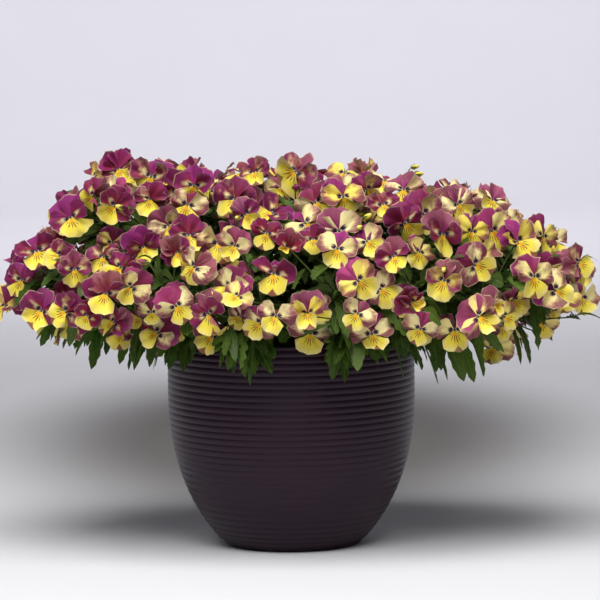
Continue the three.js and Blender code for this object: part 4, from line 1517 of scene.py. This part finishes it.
class PLANTER_OT_blooms(bpy.types.Operator):
    """Open the flowers: five ruffled petals, the calyx and its sepals"""

    bl_idname = "planter.blooms"
    bl_label = "Blooms"

    def execute(self, context):
        look = context.scene.planter_blooms
        curves, flowers = growth()
        finishes = [
            upper_finish(look),
            side_finish(look),
            lip_finish(look),
            back_finish(look),
            stem_finish(context.scene.planter_foliage),
        ]
        made = bloom_templates()
        for plant in range(PLANTS):
            bm = bmesh.new()
            for flower in flowers:
                if flower.shoot in shoots_of(plant):
                    add_flower(bm, flower, made, look.ruffle)
            for shoot in shoots_of(plant):
                add_buds(bm, curves[shoot], made, np.random.default_rng(SIDE_SEED - 1 - shoot))
            finished_plant(plant, "blooms", bm, finishes)
        return {"FINISHED"}


class PLANTER_OT_stage(bpy.types.Operator):
    """Set the pale floor and backdrop with a shadow painted on the floor behind the pot, the studio light and
    the camera
    """

    bl_idname = "planter.stage"
    bl_label = "Stage"

    def execute(self, context):
        look = context.scene.planter_stage
        self.backdrop(context, look)
        self.lights(context, look)
        self.camera(context, look)
        context.scene.view_settings.view_transform = "Standard"
        context.scene.view_settings.look = "None"
        return {"FINISHED"}

    def backdrop(self, context, look):
        curve = [
            (FLOOR_REACH + FLOOR_BEND * math.sin(turn), FLOOR_BEND - FLOOR_BEND * math.cos(turn))
            for turn in np.linspace(0, math.pi / 2, 16)
        ]
        profile = [(0, 0), *curve, (FLOOR_REACH + FLOOR_BEND, WALL_TOP)]
        bm = turned(profile, BACKDROP_SIDES, merged=1e-5)
        bmesh.ops.reverse_faces(bm, faces=[face for face in bm.faces if face.normal.z < -0.01])
        mesh = bpy.data.meshes.new("backdrop")
        bm.to_mesh(mesh)
        bm.free()
        finish = Finish("backdrop_paper_painted_shadow", Specular_IOR_Level=0.1)
        place = finish.place()
        fibre = finish.grain(place, 3.0)
        colour = finish.mix(fibre, look.floor, times(look.floor, 0.96))
        # A soft shadow painted on the floor behind the pot: the paper darkens towards the shade colour within
        # an ellipse round this middle
        middle = (0, look.painted_shadow_at, 0)
        behind = finish.node("ShaderNodeVectorMath", {"operation": "SUBTRACT"}, {0: place, 1: middle})
        spread = finish.stretched(behind, 1 / look.painted_shadow_half_width, 1 / look.painted_shadow_half_depth, 0)
        out = finish.node("ShaderNodeVectorMath", {"operation": "LENGTH"}, {0: spread}, output="Value")
        colour = finish.mix((1 - finish.smooth(out, 0.35, 1.0)) * look.shading, colour, look.shade)
        mesh.materials.append(finish.dress(Base_Color=colour, Roughness=0.85 + 0.1 * fibre))
        backdrop = bpy.data.objects.new("backdrop", mesh)
        context.scene.collection.objects.link(backdrop)

    def lights(self, context, look):
        world = bpy.data.worlds.new("soft_sky")
        world.use_nodes = True
        world.node_tree.nodes["Background"].inputs["Color"].default_value = (0.93, 0.93, 1, 1)
        world.node_tree.nodes["Background"].inputs["Strength"].default_value = look.sky
        context.scene.world = world
        self.softbox(context, "key", look.key, 2.0, (-0.15, -1.2, 2.4), (0, 0, 0.25))
        self.softbox(context, "fill", look.fill, 2.0, (-1.3, -3.6, 1.0), (0, 0, 0.3))
        self.softbox(context, "wall_light", look.wall, 3.0, (0, 3.5, 4.5), (0, 8, 2.2), (0.955, 0.93, 1.0))

    def softbox(self, context, name, power, size, at, aim, colour=(1.0, 1.0, 1.0)):
        lamp = bpy.data.lights.new(name, "AREA")
        lamp.energy = power
        lamp.size = size
        lamp.color = colour
        softbox = bpy.data.objects.new(name, lamp)
        softbox.location = at
        softbox.rotation_euler = (Vector(aim) - Vector(at)).to_track_quat("-Z", "Y").to_euler()
        context.scene.collection.objects.link(softbox)

    def camera(self, context, look):
        lens = bpy.data.cameras.new("camera")
        lens.lens = look.lens
        lens.sensor_width = SENSOR_WIDTH
        camera = bpy.data.objects.new("camera", lens)
        at = Vector((look.aim_x, -look.distance, look.height))
        aim = Vector((look.aim_x, 0, look.aim_z)) - at
        turn = aim.to_track_quat("-Z", "Y").to_matrix() @ Matrix.Rotation(look.roll, 3, "Z")
        camera.location = at
        camera.rotation_euler = turn.to_euler()
        context.scene.collection.objects.link(camera)
        context.scene.camera = camera


class PLANTER_PT_panel(bpy.types.Panel):
    """Lists the planter's pieces and their settings"""

    bl_label = "Pansy planter"
    bl_space_type = "VIEW_3D"
    bl_region_type = "UI"
    bl_category = "Planter"

    def draw(self, context):
        for operator, (group, look) in zip(OPERATORS, LOOKS.items()):
            box = self.layout.box()
            box.operator(operator.bl_idname)
            for name in look.__annotations__:
                box.prop(getattr(context.scene, group), name)


OPERATORS = (PLANTER_OT_pot, PLANTER_OT_soil, PLANTER_OT_foliage, PLANTER_OT_blooms, PLANTER_OT_stage)
LOOKS = {
    "planter_pot": PotLook,
    "planter_soil": SoilLook,
    "planter_foliage": FoliageLook,
    "planter_blooms": BloomLook,
    "planter_stage": StageLook,
}


def register():
    for group, look in LOOKS.items():
        bpy.utils.register_class(look)
        setattr(bpy.types.Scene, group, PointerProperty(type=look))
    for kind in (*OPERATORS, PLANTER_PT_panel):
        bpy.utils.register_class(kind)


def unregister():
    for kind in (PLANTER_PT_panel, *reversed(OPERATORS)):
        bpy.utils.unregister_class(kind)
    for group, look in LOOKS.items():
        delattr(bpy.types.Scene, group)
        bpy.utils.unregister_class(look)


def main():
    register()
    bpy.ops.planter.stage()
    bpy.ops.planter.pot()
    bpy.ops.planter.soil()
    bpy.ops.planter.foliage()
    bpy.ops.planter.blooms()
    for template in [mesh for mesh in bpy.data.meshes if not mesh.users]:
        bpy.data.meshes.remove(template)


if __name__ == "__main__":
    main()
